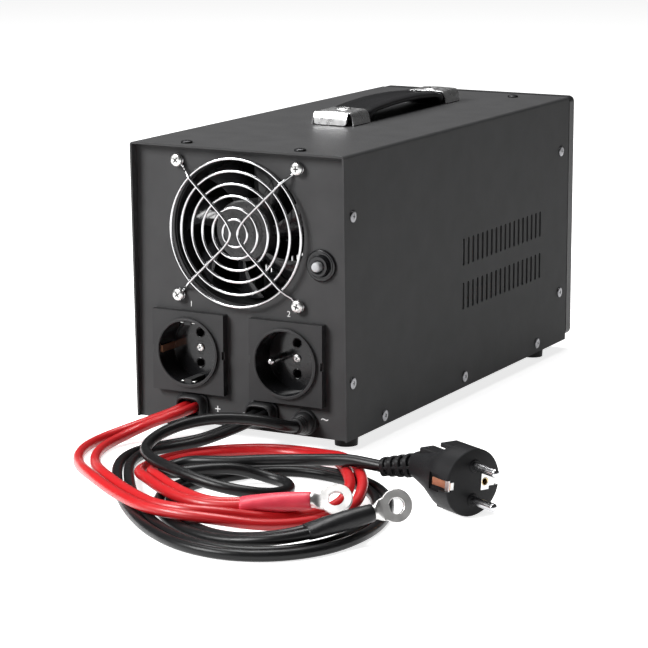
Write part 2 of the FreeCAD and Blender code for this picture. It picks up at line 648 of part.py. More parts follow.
def handle_screws():
    made = [pan_screw("0", y, "top_z + cap_height + boss_proud", "-z", "cap_height + handle_screw_in",
                      "handle_head_radius", "handle_head_height") for y in CAP_SCREWS]
    return group("handle_screws", made)


# ---------------------------------------------------------------- fan

# Rings of the guard as shares of the outermost one; sections of a blade as share of its reach, pitch, chord
GUARD_RINGS = (1, 0.833, 0.664, 0.503, 0.343, 0.187)
BLADE_SECTIONS = ((0, 44, 19), (0.5, 34, 25), (1, 26, 30))
BLADES = 7
BLADE_TURN = 12


def fan_corner(side, up):
    return f"fan_x + {side} * fan_pitch / 2", f"fan_z + {up} * fan_pitch / 2"


def fan_frame():
    block = box("fan_x", "inside_y", "fan_z - fan_size / 2", "fan_size", "fan_depth", "fan_size", "fan_block")
    bore = rod("fan_x", "inside_y", "fan_z", "fan_bore_radius", "fan_depth", "y", "fan_bore")
    holes = []
    for side, up in CORNERS:
        x, z = fan_corner(side, up)
        holes.append(rod(x, "inside_y", z, "fan_screw_radius + fan_screw_gap", "fan_depth", "y", "fan_hole"))
    shell = cut("fan_shell", block, [bore] + holes)
    mount_y = "inside_y + fan_depth - mount_thick"
    hub = rod("fan_x", mount_y, "fan_z", "hub_radius + mount_rim", "mount_thick", "y", "motor_mount")
    struts = []
    for turn in range(4):
        strut = bind(doc.addObject("Part::Box", "strut"), Length="fan_bore_radius + fan_margin - hub_radius",
                     Width="strut_thick", Height="strut_wide")
        angle = FreeCAD.Rotation(AXES["y"], 90 * turn)
        reach = angle.multVec(AXES["x"])
        lift = angle.multVec(AXES["-z"])
        place(strut, f"fan_x + hub_radius * {round(reach.x)} + strut_wide / 2 * {round(lift.x)}", mount_y,
              f"fan_z + hub_radius * {round(reach.z)} + strut_wide / 2 * {round(lift.z)}", angle)
        struts.append(strut)
    whole = fuse("fan_spider", [shell, hub] + struts)
    seat = rod("fan_x", f"{mount_y} - mount_rim", "fan_z", "shaft_radius", "shaft_seat", "y", "shaft_seat")
    return cut("fan_frame", whole, [seat])


def fan_blade():
    """One twisted blade, lofted through three flat sections from hub to tip."""
    sections = []
    inner, outer = value("hub_radius - blade_root"), value("rotor_radius + blade_over")
    for share, pitch, chord in BLADE_SECTIONS:
        radius = inner + (outer - inner) * share
        lean = math.radians(pitch)
        ahead = Vec(math.cos(lean), math.sin(lean), 0)
        across = Vec(-math.sin(lean), math.cos(lean), 0)
        corners = []
        for u, v in ((-1, -1), (1, -1), (1, 1), (-1, 1)):
            spot = ahead * (u * chord / 2) + across * (v * value("blade_thick") / 2)
            corners.append(Vec(spot.x, spot.y, radius))
        sections.append(Part.makePolygon(corners + corners[:1]))
    length = value("2 * fan_depth")
    sweep = Part.makeCylinder(value("rotor_radius"), length, Vec(0, -length / 2, 0), AXES["y"])
    return Part.makeLoft(sections, True, False).common(sweep)


def fan_rotor():
    start = "panel_y + hub_set"
    hub = rod("fan_x", start, "fan_z", "hub_radius", "hub_length", "y", "hub")
    blades = []
    for number in range(BLADES):
        blade = shaped("blade", fan_blade())
        turned = FreeCAD.Rotation(AXES["y"], number * 360 / BLADES + BLADE_TURN)
        blades.append(place(blade, "fan_x", f"{start} + hub_length / 2", "fan_z", turned))
    whole = fuse("rotor_blank", [hub] + blades)
    bore = rod("fan_x", f"{start} + hub_face", "fan_z", "shaft_radius + running_gap", "hub_length", "y",
               "rotor_bore")
    return cut("fan_rotor", whole, [bore])


def fan_shaft():
    start = "hub_set + shaft_in"
    return rod("fan_x", f"panel_y + {start}", "fan_z", "shaft_radius", f"sheet_thick + fan_depth - ({start})",
               "y", "fan_shaft")


def fan_guard():
    rings = [ring("fan_x", "panel_y - guard_stand", "fan_z", f"(fan_bore_radius + guard_wire) * {share}",
                  "guard_wire") for share in GUARD_RINGS]
    eyes = []
    for side, up in CORNERS:
        x, z = fan_corner(side, up)
        eyes.append(ring(x, "panel_y - guard_wire", z, "fan_screw_radius + guard_wire + eye_gap",
                         "guard_wire"))
    half, wire, stand = value("fan_pitch / 2"), value("guard_wire"), value("guard_stand")
    spokes = []
    for side in (-1, 1):
        path = [(half - 2.35, -wire, half - 2.35), (half - 4.25, -1.1, half - 4.15),
                (half - 6.75, -3.6, half - 6.45), (half - 10.25, -stand - 1.4, half - 9.65),
                (2.5, -stand - 1.5, 4.5)]
        points = [(side * x, y, z) for x, y, z in path] + [(side * x, y, -z) for x, y, z in reversed(path)]
        spoke = shaped("spoke", tube(points, wire)[0])
        spokes.append(place(spoke, "fan_x", "panel_y", "fan_z"))
    return fuse("fan_guard", rings + eyes + spokes)


def fan_screws():
    made = []
    for side, up in CORNERS:
        x, z = fan_corner(side, up)
        seat = "panel_y - 2 * guard_wire"
        shank = rod(x, seat, z, "fan_screw_radius",
                    "fan_depth + sheet_thick + 2 * guard_wire + fan_screw_tail", "y", "shank")
        head = rod(x, seat, z, "fan_head_radius", "fan_head_height", "-y", "head")
        made.append(fuse("fan_screw", [shank, head]))
    return group("fan_screws", made)


def fan_nuts():
    made = []
    for side, up in CORNERS:
        x, z = fan_corner(side, up)
        nut = bind(doc.addObject("Part::Prism", "nut"), Circumradius="fan_screw_radius * 2",
                   Height="fan_nut_thick")
        place(nut, x, "inside_y + fan_depth", z, FreeCAD.Rotation(AXES["z"], AXES["y"]))
        hole = rod(x, "inside_y + fan_depth", z, "fan_screw_radius", "fan_nut_thick", "y", "nut_hole")
        made.append(cut("fan_nut", nut, [hole]))
    return group("fan_nuts", made)


# ---------------------------------------------------------------- breaker

def breaker_body():
    block = box("breaker_x", "inside_y", "breaker_z - breaker_tall / 2", "breaker_wide", "breaker_deep",
                "breaker_tall", "breaker_block")
    throat = rod("breaker_x", "inside_y", "breaker_z", "button_radius + button_gap", "throat_deep", "y",
                 "throat")
    room = rod("breaker_x", "inside_y + throat_deep", "breaker_z", "button_radius + stop_wide + button_gap",
               "button_room", "y", "room")
    return cut("breaker_body", block, [throat, room])


def breaker_collar():
    boss_y = "panel_y - flange_thick - boss_tall"
    flange = rod("breaker_x", "panel_y - flange_thick", "breaker_z", "breaker_flange", "flange_thick", "y",
                 "flange")
    boss = rod("breaker_x", boss_y, "breaker_z", "breaker_boss", "boss_tall", "y", "boss")
    shank = rod("breaker_x", "panel_y", "breaker_z", "breaker_boss - collar_step", "sheet_thick", "y",
                "shank")
    bore = rod("breaker_x", boss_y, "breaker_z", "button_radius + button_gap",
               "boss_tall + flange_thick + sheet_thick", "y", "bore")
    return cut("breaker_collar", fuse("collar_blank", [flange, boss, shank]), [bore])


def breaker_button():
    tip = rod("breaker_x", "panel_y - button_proud", "breaker_z", "button_radius", "2 * button_proud", "y",
              "tip")
    stop = rod("breaker_x", "panel_y + stop_at", "breaker_z", "button_radius + stop_wide", "button_stop", "y",
               "stop")
    return fuse("breaker_button", [tip, stop])


# ---------------------------------------------------------------- sockets

def socket_face(label, x, bores):
    """Square face plate with a round rim, a deep well and the terminal block behind the panel."""
    front = "panel_y - socket_plate"
    plate = box(x, front, "socket_z - socket_size / 2", "socket_size", "socket_plate", "socket_size", "plate")
    rim = rod(x, f"{front} - rim_proud", "socket_z", "rim_radius", "rim_proud", "y", "rim")
    housing = rod(x, "panel_y", "socket_z", "rim_radius", "well_y - panel_y + well_floor", "y", "housing")
    block = box(x, "well_y", "socket_z - terminal_size / 2", "terminal_size", "terminal_deep",
                "terminal_size", "terminal_block")
    well = rod(x, f"{front} - rim_proud", "socket_z", "well_radius", "well_depth", "y", "well")
    made = cut(label + "_well", fuse(label + "_blank", [plate, rim, housing, block]), [well])
    holes = [rod(x, "well_y", f"socket_z + {side} * pin_pitch / 2", "pin_hole", "pin_deep", "y", "pin_hole")
             for side in (-1, 1)]
    holes.append(rod(x, "well_y", "socket_z", "screw_radius", "socket_screw_in", "y", "screw_hole"))
    for offset in bores:
        holes.append(rod(f"{x} - {offset}", "well_y", "socket_z", "plug_pin + running_gap", "earth_deep", "y",
                         "earth_hole"))
    for side in (-1, 1):
        holes.append(box(f"{x} + {side} * socket_size / 2", front, "socket_z - notch_tall / 2", "notch_wide",
                         "notch_deep", "notch_tall", "notch"))
    return made, holes


def socket_left_face():
    made, holes = socket_face("socket_left", "socket_left_x", [])
    front = "panel_y - socket_plate"
    ribs = [box("socket_left_x", front, f"socket_z + {side} * (well_radius - rib_in) - rib_tall / 2",
                "rib_wide", "well_y - panel_y + socket_plate", "rib_tall", "rib") for side in (-1, 1)]
    return cut("socket_left_face", fuse("socket_left_ribbed", [made] + ribs), holes)


def socket_right_face():
    made, holes = socket_face("socket_right", "socket_right_x", ["earth_offset"])
    return cut("socket_right_face", made, holes)


def socket_left_contacts():
    clips = [box(f"socket_left_x + {side} * (well_radius - clip_in)", "panel_y - socket_plate + clip_thick",
                 "socket_z - clip_wide / 2", "clip_thick", "well_y - panel_y + socket_plate - clip_thick",
                 "clip_wide", "clip") for side in (-1, 1)]
    return group("socket_left_contacts", clips)


def socket_right_contacts():
    x, tip = "socket_right_x - earth_offset", "well_y - earth_reach"
    stem = rod(x, tip, "socket_z", "plug_pin", "earth_reach + earth_deep", "y", "earth_pin")
    ball = bind(doc.addObject("Part::Sphere", "pin_ball"), Radius="plug_pin")
    return fuse("socket_right_contacts", [stem, place(ball, x, tip, "socket_z")])


def socket_screw(label, x):
    shank = rod(x, "well_y", "socket_z", "screw_radius", "socket_screw_in", "y", "shank")
    head = rod(x, "well_y", "socket_z", "socket_head_radius", "socket_head_height", "-y", "head")
    return fuse(label, [shank, head])


# ---------------------------------------------------------------- glands

def cable_gland(label, x, up):
    """A moulded double-cable gland: plate and hollow nose outside, a lip behind the panel."""
    z = f"foot_height + {up}"
    made = new_body(label)
    plate = flat_slot(sketch_on(made, "XZ_Plane", "-panel_y"), x, z, "gland_wide", "gland_tall")
    pad(made, plate, "gland_plate")
    nose = flat_slot(sketch_on(made, "XZ_Plane", "-panel_y"), x, z, "nose_wide", "nose_tall")
    pad(made, nose, "gland_nose")
    neck = flat_slot(sketch_on(made, "XZ_Plane", "-panel_y"), x, z, "nose_wide - 2 * neck_in",
                     "nose_tall - 2 * neck_in")
    pad(made, neck, "sheet_thick", back=True)
    lip_y = "-(panel_y + sheet_thick)"
    lip = flat_slot(sketch_on(made, "XZ_Plane", lip_y), x, z, "nose_wide", "nose_tall")
    pad(made, lip, "gland_lip", back=True)
    mouth = flat_slot(sketch_on(made, "XZ_Plane", "-(panel_y - gland_nose)"), x, z,
                      "nose_wide - 2 * nose_wall", "mouth_tall")
    pocket(made, mouth, "gland_nose - gland_plate")
    return made


def mains_strain_relief():
    outer_y = "panel_y - relief_flange"
    flange = rod("mains_x", outer_y, "mains_z", "mains_flange", "relief_flange", "y", "flange")
    taper = cone("mains_x", outer_y, "mains_z", "mains_flange - relief_step", "mains_lead + relief_wall",
                 "rear_reach - relief_flange", "-y", "taper")
    neck = rod("mains_x", "panel_y", "mains_z", "relief_neck", "sheet_thick", "y", "neck")
    lip = rod("mains_x", "inside_y", "mains_z", "mains_flange - relief_step", "relief_lip", "y", "lip")
    return fuse("mains_strain_relief", [flange, taper, neck, lip])


# ---------------------------------------------------------------- front fittings

def display_module():
    return box("0", "front_y", "window_z - window_tall / 2 - display_rim", "window_wide + 2 * display_rim",
               "bezel_thick - bezel_wall - display_gap", "window_tall + 2 * display_rim", "display_module")


def display_window():
    return box("0", "front_y + bezel_thick - bezel_wall", "window_z - window_tall / 2", "window_wide",
               "window_thick", "window_tall", "display_window")


def switch_frame():
    low = "switch_z - switch_tall / 2"
    case = box("switch_x", "front_y - switch_deep", low, "switch_wide", "bezel_thick + switch_deep",
               "switch_tall", "switch_case")
    flange = box("switch_x", "face_y", f"{low} - switch_flange", "switch_wide + 2 * switch_lip",
                 "switch_flange", "switch_tall + 2 * switch_flange", "switch_flange")
    room = box("switch_x", "front_y - switch_deep + switch_floor", f"{low} + switch_wall",
               "rocker_wide + 2 * rocker_gap", "bezel_thick + switch_deep", "switch_tall - 2 * switch_wall",
               "switch_room")
    pivot = rod("switch_x - rocker_wide / 2 - pivot_radius", "pivot_y", "switch_z",
                "pivot_radius + running_gap", "rocker_wide + 2 * pivot_radius", "x", "pivot")
    return cut("switch_frame", fuse("switch_blank", [case, flange]), [room, pivot])


def switch_rocker():
    made = new_body("switch_rocker")
    side = sketch_on(made, "YZ_Plane")
    outline(side, [
        ("rocker_rise - rocker_dip", "0"), ("rocker_rise", "rocker_half"),
        ("-rocker_waist", "rocker_half - rocker_flank"), ("-rocker_root", "root_half"),
        ("-rocker_root", "-root_half"), ("-rocker_waist", "rocker_flank - rocker_half"),
        ("rocker_rise", "-rocker_half")])
    pad(made, side, "rocker_wide", both=True)
    pins = sketch_on(made, "YZ_Plane")
    disc(pins, "0", "0", "pivot_radius")
    pad(made, pins, "rocker_wide + 2 * pivot_reach", both=True)
    return place(made, "switch_x", "pivot_y", "switch_z", FreeCAD.Rotation(AXES["x"], -value("rocker_tilt")))


# ---------------------------------------------------------------- electronics

FINS = 7
PACKAGES = 4
RELAYS = 3


def transformer_core():
    made = new_body("transformer_core")
    half = sketch_on(made, "XZ_Plane")
    rectangle(half, "(core_radius + core_bore) / 2", "core_tall / 2", "core_radius - core_bore", "core_tall")
    turned = made.newObject("PartDesign::Revolution", "core_turned")
    turned.Profile = half
    turned.ReferenceAxis = (half, ["V_Axis"])
    turned.Angle = 360
    doc.recompute()
    round_edges(made, "core_round", lambda edge: not isinstance(edge.Curve, Part.Line))
    return place(made, "0", "core_y", "core_z")


def transformer_pads():
    made = []
    for z in ("floor_z", "core_z + core_tall"):
        whole = rod("0", "core_y", z, "core_radius - pad_in", "pad_thick", "z", "pad")
        hole = rod("0", "core_y", z, "bolt_radius + bolt_gap", "pad_thick", "z", "pad_hole")
        made.append(cut("pad_cut", whole, [hole]))
    return group("transformer_pads", made)


def transformer_clamp():
    top = "core_z + core_tall + pad_thick"
    low = "foot_height - bolt_head_tall"
    head = rod("0", "core_y", low, "bolt_head", "bolt_head_tall", "z", "bolt_head")
    shank = rod("0", "core_y", low, "bolt_radius", f"{top} - foot_height + bolt_tail", "z", "bolt_shank")
    dish = rod("0", "core_y", top, "dish_radius", "dish_thick", "z", "dish")
    nut = bind(doc.addObject("Part::Prism", "nut"), Circumradius="nut_radius", Height="nut_tall")
    return fuse("transformer_clamp", [head, shank, dish, place(nut, "0", "core_y", f"{top} + dish_thick")])


def power_board():
    return box("0", "panel_y + board_near", "board_z", "board_width", "board_far - board_near", "board_thick",
               "power_board")


def board_standoffs():
    made = []
    for side in (-1, 1):
        for y in ("board_near + standoff_near", "(board_near + board_far) / 2", "board_far - standoff_far"):
            made.append(rod(f"{side} * (board_width / 2 - standoff_side)", f"panel_y + {y}", "floor_z",
                            "standoff_radius", "standoff_tall"))
    return group("board_standoffs", made)


def heatsinks():
    made = []
    for side in (-1, 1):
        y = "panel_y + sink_near"
        plates = [box(f"{side} * sink_x", y, "deck_z", "sink_plate", "sink_long", "sink_tall", "sink_plate")]
        for number in range(FINS):
            plates.append(box(f"{side} * (sink_x + fin_root + sink_thick / 2)", y,
                              f"deck_z + fin_up + {number} * fin_pitch", "sink_thick", "sink_long",
                              "fin_thick", "fin"))
        made.append(fuse("heatsink", plates))
    return group("heatsinks", made)


def mosfets():
    made = []
    for side in (-1, 1):
        for number in range(PACKAGES):
            x = f"{side} * (sink_x - sink_plate / 2 - package_thick / 2)"
            y = f"panel_y + sink_near + package_first + {number} * package_pitch"
            package = box(x, y, "deck_z + package_up", "package_thick", "package_wide", "package_tall",
                          "package")
            legs = box(x, f"{y} + (package_wide - leg_wide) / 2", "deck_z", "leg_thick", "leg_wide",
                       "package_up + leg_into", "legs")
            made.append(fuse("mosfet", [package, legs]))
    return group("mosfets", made)


def capacitors():
    return group("capacitors", [rod(f"{side} * capacitor_x", f"panel_y + {y}", "deck_z", "capacitor_radius",
                                    "capacitor_tall", "z", "capacitor")
                                for side in (-1, 1) for y in ("capacitor_near", "capacitor_far")])


def control_board():
    return box("card_x", "panel_y + card_near", "deck_z", "board_thick", "card_long", "card_tall",
               "control_board")


def relays():
    x, y = "card_x + (board_thick + relay_deep) / 2", "panel_y + card_near + (card_long - relay_long) / 2"
    return group("relays", [box(x, y, f"deck_z + relay_up + {number} * relay_pitch", "relay_deep",
                                "relay_long", "relay_tall", "relay") for number in range(RELAYS)])


def transformer_leads():
    """Three leads from the top of the winding to the backs of the relays."""
    made = []
    for number in range(RELAYS):
        rise = value("relay_pitch") * number
        level_z = value("deck_z + relay_up + relay_tall / 2") + rise
        path = [(34 + 6 * number, 224, value("core_z + core_tall") + 4.8),
                (42 + 5 * number, 218, value("core_z + core_tall") + 8.8 + rise / 2),
                (56, 212, level_z + 6.7), (62, 200, level_z + 1.2), (61.5, 183.3, level_z + 0.7)]
        lead = shaped("lead", tube(path, value("winding_lead"))[0])
        made.append(place(lead, "0", "panel_y", "0"))
    return group("transformer_leads", made)


def inner_leads():
    """Battery leads from the glands to the board, and the mains lead from its strain relief."""
    made = []
    for x, up in (("gland_plus_x", "gland_plus_up"), ("gland_minus_x", "gland_minus_up")):
        for side in (-1, 1):
            lift = value("standoff_tall - battery_drop")
            path = [(0, 0, 0), (0, 12, 0), (side * 1.2, 28, lift), (side * 1.8, 42, lift + 1.8),
                    (side * 2, 56, lift)]
            lead = shaped("inner_lead", tube(path, value("battery_lead"))[0])
            made.append(place(lead, f"{x} + {side} * inner_spread", "inside_y + gland_lip",
                              f"foot_height + {up}"))
    lift = value("standoff_tall - mains_drop")
    path = [(0, 0, 0), (0, 12, 0), (-5, 24, lift), (-8, 38, lift + 2.5), (-9, 52, lift)]
    lead = shaped("inner_lead", tube(path, value("mains_lead"))[0])
    made.append(place(lead, "mains_x", "inside_y + relief_lip", "mains_z"))
    return group("inner_leads", made)


# ---------------------------------------------------------------- leads outside

# Middle route of each pair, from the gland to its sleeve: across, out from the panel, up, half spacing
POSITIVE = [
    (-33.5, -3, 18.6, 3.3), (-33.5, -10.5, 18.6, 3.3), (-39, -18, 16, 3.3), (-50, -23, 11.5, 3.4),
    (-60, -31, 6.8, 4), (-66, -46, 3.8, 5), (-65, -64, 3.2, 5.4), (-58, -83, 3.2, 5.2), (-46, -101, 4, 4.8),
    (-30, -121, 7.5, 4.2), (-11, -140, 9.8, 3.8), (8, -155, 9.8, 3.8), (27, -168, 9.8, 3.8),
    (47, -179, 9.8, 4),
    (69, -182, 10.3, 5), (88, -175, 8.8, 7), (104, -163, 5, 8.5), (118, -148, 3.4, 7), (127, -130, 3.3, 6),
    (131, -111, 4.8, 4.5), (127, -93, 9.8, 3.6), (117, -75, 9.8, 3.6), (103, -55, 9.8, 3.6),
    (86, -37, 8.6, 3.6), (66, -25, 4.8, 3.6), (46, -20, 3.4, 3.6), (27, -25, 3.3, 3.6), (10, -37, 3.3, 3.6),
    (-3, -54, 3.3, 3.5), (-10, -74, 3.3, 3.5), (-9, -93, 3.6, 3.5), (1, -113, 7.2, 3.5),
    (16, -128, 9.8, 3.5), (32, -141, 9.8, 3.5), (50, -151.5, 9.4, 3.5), (67, -157.5, 9.2, 3.4),
    (80.2, -155.5, 9.2, 3.3), (89.5, -152, 10, 3.2)]
NEGATIVE = [
    (15.2, -3, 19, 3.3), (15.2, -10.5, 19, 3.3), (10, -18, 15.5, 3.3), (0, -24, 10.5, 3.3),
    (-12, -31, 5.5, 3.3), (-25, -41, 3.3, 3.4), (-33, -56, 3.2, 3.4), (-33, -74, 3.2, 3.4),
    (-26, -93, 3.2, 3.4), (-13, -114, 3.2, 3.4), (4, -138, 3.2, 3.4), (26, -165, 3.2, 3.4),
    (54, -192, 3.2, 3.4), (84, -211, 3.2, 3.4), (111, -216, 3.2, 3.4), (132, -210, 3.2, 3.4),
    (147, -197, 3.2, 3.4), (157, -178, 3.2, 3.4), (160, -155, 3.2, 3.4), (158, -132, 3.2, 3.4),
    (151, -109, 3.2, 3.4), (140, -87, 3.2, 3.4), (125, -70, 3.2, 3.4), (107, -59, 3.2, 3.4),
    (88, -54, 3.2, 3.4), (69, -54, 3.2, 3.4), (52, -63, 3.2, 3.4), (40, -79, 3.2, 3.4), (31, -98, 3.2, 3.4),
    (27, -119, 3.2, 3.4), (31, -140, 3.2, 3.4), (44, -160, 3.2, 3.4), (61.5, -177.5, 3.2, 3.4),
    (82, -190.5, 3.2, 3.4), (103, -196, 3.6, 3.4), (123, -196.5, 6.4, 3.4), (139.5, -191, 9.2, 3.3),
    (146, -183, 10.5, 3.2)]
MAINS = [
    (44.5, -14, 17), (42.5, -22, 18.8), (34, -29, 22.5), (19, -35, 24), (3, -42, 23.5), (-10, -53, 21),
    (-17, -69, 17.5), (-15, -87, 14.5), (-4, -102, 14), (13, -114, 13.8), (32, -122, 12.8), (52, -127, 10.5),
    (71, -125, 8), (84, -113, 5), (87, -97, 3.6), (78, -83, 3.6), (62, -81, 4.8), (49, -90, 10.2),
    (37, -100, 10.8), (23.6, -111, 9.6), (15.4, -111, 8.2), (8.9, -106.2, 7), (6.4, -98.5, 6.8),
    (8.9, -90.8, 7.6), (15.4, -86.2, 9.2), (26, -86, 10.4), (41, -83, 11.2), (53, -79, 12.5),
    (66.4, -75, 13.6), (81, -72, 14.8), (95, -68.5, 15.8), (109, -67, 17.1), (121, -67.2, 16.4),
    (130.5, -68, 16)]


def pair(route):
    """Two leads side by side along a middle route, each half the spacing from it."""
    left, right = [], []
    for index, (x, y, z, half) in enumerate(route):
        before, after = route[max(index - 1, 0)], route[min(index + 1, len(route) - 1)]
        run_x, run_y = after[0] - before[0], after[1] - before[1]
        run = math.hypot(run_x, run_y)
        side_x, side_y = -run_y / run * half, run_x / run * half
        left.append((round(x + side_x, 2), round(y + side_y, 2), z))
        right.append((round(x - side_x, 2), round(y - side_y, 2), z))
    return left, right


def lead(label, points, size):
    """A free lead, with its radii and its volume against section times length printed."""
    radius = value(size)
    solid, radii, length = tube(points, radius)
    whole = math.pi * radius ** 2 * length
    print(f"{label}: length {length:.0f} mm, least radius {min(radii):.1f} mm, "
          f"volume {solid.Volume / whole:.4f} of section x length")
    return place(shaped(label, solid), "0", "panel_y", "0")


def facing(axis, up):
    """Turns local +X along an axis and local +Z as near as it can to an up direction."""
    along_x = Vec(*axis)
    along_z = Vec(*up)
    return FreeCAD.Rotation(along_x, along_z.cross(along_x), along_z, "XZY")


# Where each sleeve starts, the way it points, and the way the lug's flat face looks
POSITIVE_END = ((89.5, -152, 10), (47, 17.5, 4.5), (0.33, -0.62, 0.71))
NEGATIVE_END = ((146, -183, 10.5), (32, 39.5, 8.5), (0.46, -0.86, 0.2))
PLUG_END = ((156.2, -68.9, 20.5), (0.913, -0.406, -0.035), (0.15, -0.02, 0.99))
CORD_END = ((130.5, -68, 16), (25.7, -0.9, 4.5))


def put(thing, spot, rotation):
    return place(thing, str(spot[0]), f"panel_y + {spot[1]}", str(spot[2]), rotation)


# Where a lug's barrel starts, as a share of its sleeve
BARREL_START = 0.55


def sleeve(label, end):
    """A shrink sleeve: oval over two leads, round where the lug's barrel comes out."""
    def oval(x, wide, tall):
        curve = Part.Ellipse(Vec(x, wide, 0), Vec(x, 0, tall), Vec(x, 0, 0))
        return Part.Wire(curve.toShape())
    length, barrel = value("sleeve_length"), value("barrel_radius")
    end_size = barrel + value("sleeve_wall")
    # an ellipse needs its two radii apart
    skin = Part.makeLoft([oval(0, value("sleeve_wide"), value("sleeve_tall")),
                          oval(length / 2, value("sleeve_mid_wide"), value("sleeve_mid_tall")),
                          oval(length, end_size + 0.01, end_size)], True, False)
    core = Part.makeCylinder(barrel, length, Vec(length * BARREL_START, 0, 0), AXES["x"])
    return put(shaped(label, skin.cut(core)), end[0], facing(end[1], (0, 0, 1)))


def lug(label, end):
    """A crimped ring terminal: barrel, flat palm and eye."""
    low = "-lug_thick / 2"
    eye = rod("lug_reach", "0", low, "ring_radius", "lug_thick", "z", "eye")
    palm = box("sleeve_length + palm_out", "-palm_wide / 2", low, "palm_long", "palm_wide", "lug_thick",
               "palm")
    barrel = rod(f"sleeve_length * {BARREL_START}", "0", "0", "barrel_radius",
                 f"sleeve_length * (1 - {BARREL_START}) + barrel_out", "x", "barrel")
    hole = rod("lug_reach", "0", "-lug_thick", "ring_hole", "lug_thick * 2", "z", "eye_hole")
    made = cut(label, fuse(label + "_blank", [eye, palm, barrel]), [hole])
    return put(made, end[0], facing(end[1], end[2]))


def plug_body():
    disc_x = "plug_length - plug_rim"
    face = rod(disc_x, "0", "0", "plug_radius", "plug_rim", "x", "plug_disc")
    taper = cone("0", "0", "0", "plug_neck", "plug_radius - taper_step", disc_x, "x", "plug_taper")
    notches = [box("plug_length - guide_long / 2", f"{side} * (plug_radius - guide_in) - guide_size / 2",
                   "-guide_wide / 2", "guide_long", "guide_size", "guide_wide", "notch") for side in (-1, 1)]
    earth = rod("plug_length - earth_bore_deep", "earth_offset", "0", "earth_bore", "earth_bore_deep", "x",
                "earth_bore")
    head = cut("plug_head", fuse("plug_blank", [face, taper]), notches + [earth])
    put(head, PLUG_END[0], facing(*PLUG_END[1:]))
    relief = bind(doc.addObject("Part::Cone", "plug_relief"), Radius1="mains_lead + boot_wall",
                  Radius2="boot_end", Height="boot_long")
    along_z = FreeCAD.Rotation(AXES["z"], Vec(*CORD_END[1]))
    return fuse("plug_body", [head, put(relief, CORD_END[0], along_z)])


def plug_pins():
    pins = [rod("plug_length", "0", f"{side} * pin_pitch / 2", "plug_pin", "plug_pin_length", "x", "pin")
            for side in (-1, 1)]
    return put(group("plug_pins", pins), PLUG_END[0], facing(*PLUG_END[1:]))


def plug_earth_clips():
    clips = [box("plug_length - plug_clip_long / 2",
                 f"{side} * (plug_radius - plug_clip_in) - plug_clip_thick / 2", "-clip_wide / 2",
                 "plug_clip_long", "plug_clip_thick", "clip_wide", "clip") for side in (-1, 1)]
    return put(group("plug_earth_clips", clips), PLUG_END[0], facing(*PLUG_END[1:]))


# ---------------------------------------------------------------- the whole inverter

for make in (base_tray, rear_panel, front_panel, front_bezel, top_cover, rubber_feet, foot_screws,
             side_screws, top_screws, handle_grip, handle_screws, fan_frame, fan_rotor, fan_shaft,
             fan_guard, fan_screws, fan_nuts, breaker_body, breaker_collar, breaker_button,
             socket_left_face, socket_right_face, socket_left_contacts, socket_right_contacts,
             mains_strain_relief, display_module, display_window, switch_frame, switch_rocker,
             transformer_core, transformer_pads, transformer_clamp, power_board, board_standoffs,
             heatsinks, mosfets, capacitors, control_board, relays, transformer_leads, inner_leads,
             plug_body, plug_pins, plug_earth_clips):
    node(make())

node(handle_cap("handle_cap_rear", "cap_near_y", "cap_near_y + cap_length", "cap_near_y + cap_screw_in"))
node(handle_cap("handle_cap_front", "cap_far_y", "cap_far_y - cap_length", "cap_far_y - cap_screw_in"))
node(socket_screw("socket_left_screw", "socket_left_x"))
node(socket_screw("socket_right_screw", "socket_right_x"))
node(cable_gland("gland_positive", "gland_plus_x", "gland_plus_up"))
node(cable_gland("gland_negative", "gland_minus_x", "gland_minus_up"))
for sign, route, end in (("positive", POSITIVE, POSITIVE_END), ("negative", NEGATIVE, NEGATIVE_END)):
    for letter, points in zip("ab", pair(route)):
        node(lead(f"cable_{sign}_{letter}", points, "battery_lead"))
    node(sleeve(f"sleeve_{sign}", end))
    node(lug(f"lug_{sign}", end))
node(lead("mains_cord", MAINS, "mains_lead"))

doc.recompute()
faults = [f"{item.Label}: {item.State}" for item in doc.Objects
          if "Invalid" in item.State or "Error" in item.State]
faults += [f"{item.Label}: bad shape" for item in NODES if item.Shape.isNull() or not item.Shape.isValid()]
if faults:
    raise RuntimeError("; ".join(faults))
for item in NODES:
    item.Shape.exportStep(f"parts/{item.Label}.step")
print(len(NODES), "nodes written")
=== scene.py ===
import math

import bmesh
import bpy
from mathutils import Matrix, Vector


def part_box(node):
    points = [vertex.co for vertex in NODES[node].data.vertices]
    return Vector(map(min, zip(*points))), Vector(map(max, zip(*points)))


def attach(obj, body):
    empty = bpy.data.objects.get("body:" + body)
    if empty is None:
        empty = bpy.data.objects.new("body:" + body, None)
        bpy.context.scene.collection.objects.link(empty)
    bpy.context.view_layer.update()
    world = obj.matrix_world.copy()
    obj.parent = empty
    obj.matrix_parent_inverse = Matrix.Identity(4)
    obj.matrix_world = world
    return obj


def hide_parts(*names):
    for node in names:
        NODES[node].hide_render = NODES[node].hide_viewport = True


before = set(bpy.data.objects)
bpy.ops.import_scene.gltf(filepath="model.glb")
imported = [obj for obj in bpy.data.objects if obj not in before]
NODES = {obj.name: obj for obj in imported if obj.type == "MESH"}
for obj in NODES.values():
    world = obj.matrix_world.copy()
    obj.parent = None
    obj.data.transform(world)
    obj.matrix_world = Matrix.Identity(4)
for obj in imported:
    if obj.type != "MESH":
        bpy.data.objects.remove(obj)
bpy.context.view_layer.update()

MM = 0.001

# ---------------------------------------------------------------- places, in millimetres

PANEL_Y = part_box("rear_panel")[0][1] / MM
FACE_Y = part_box("front_bezel")[1][1] / MM
TOP_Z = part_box("top_cover")[1][2] / MM
HALF_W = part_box("top_cover")[1][0] / MM


def middle(node):
    low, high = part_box(node)
    return (Vector(low) + Vector(high)) / 2 / MM


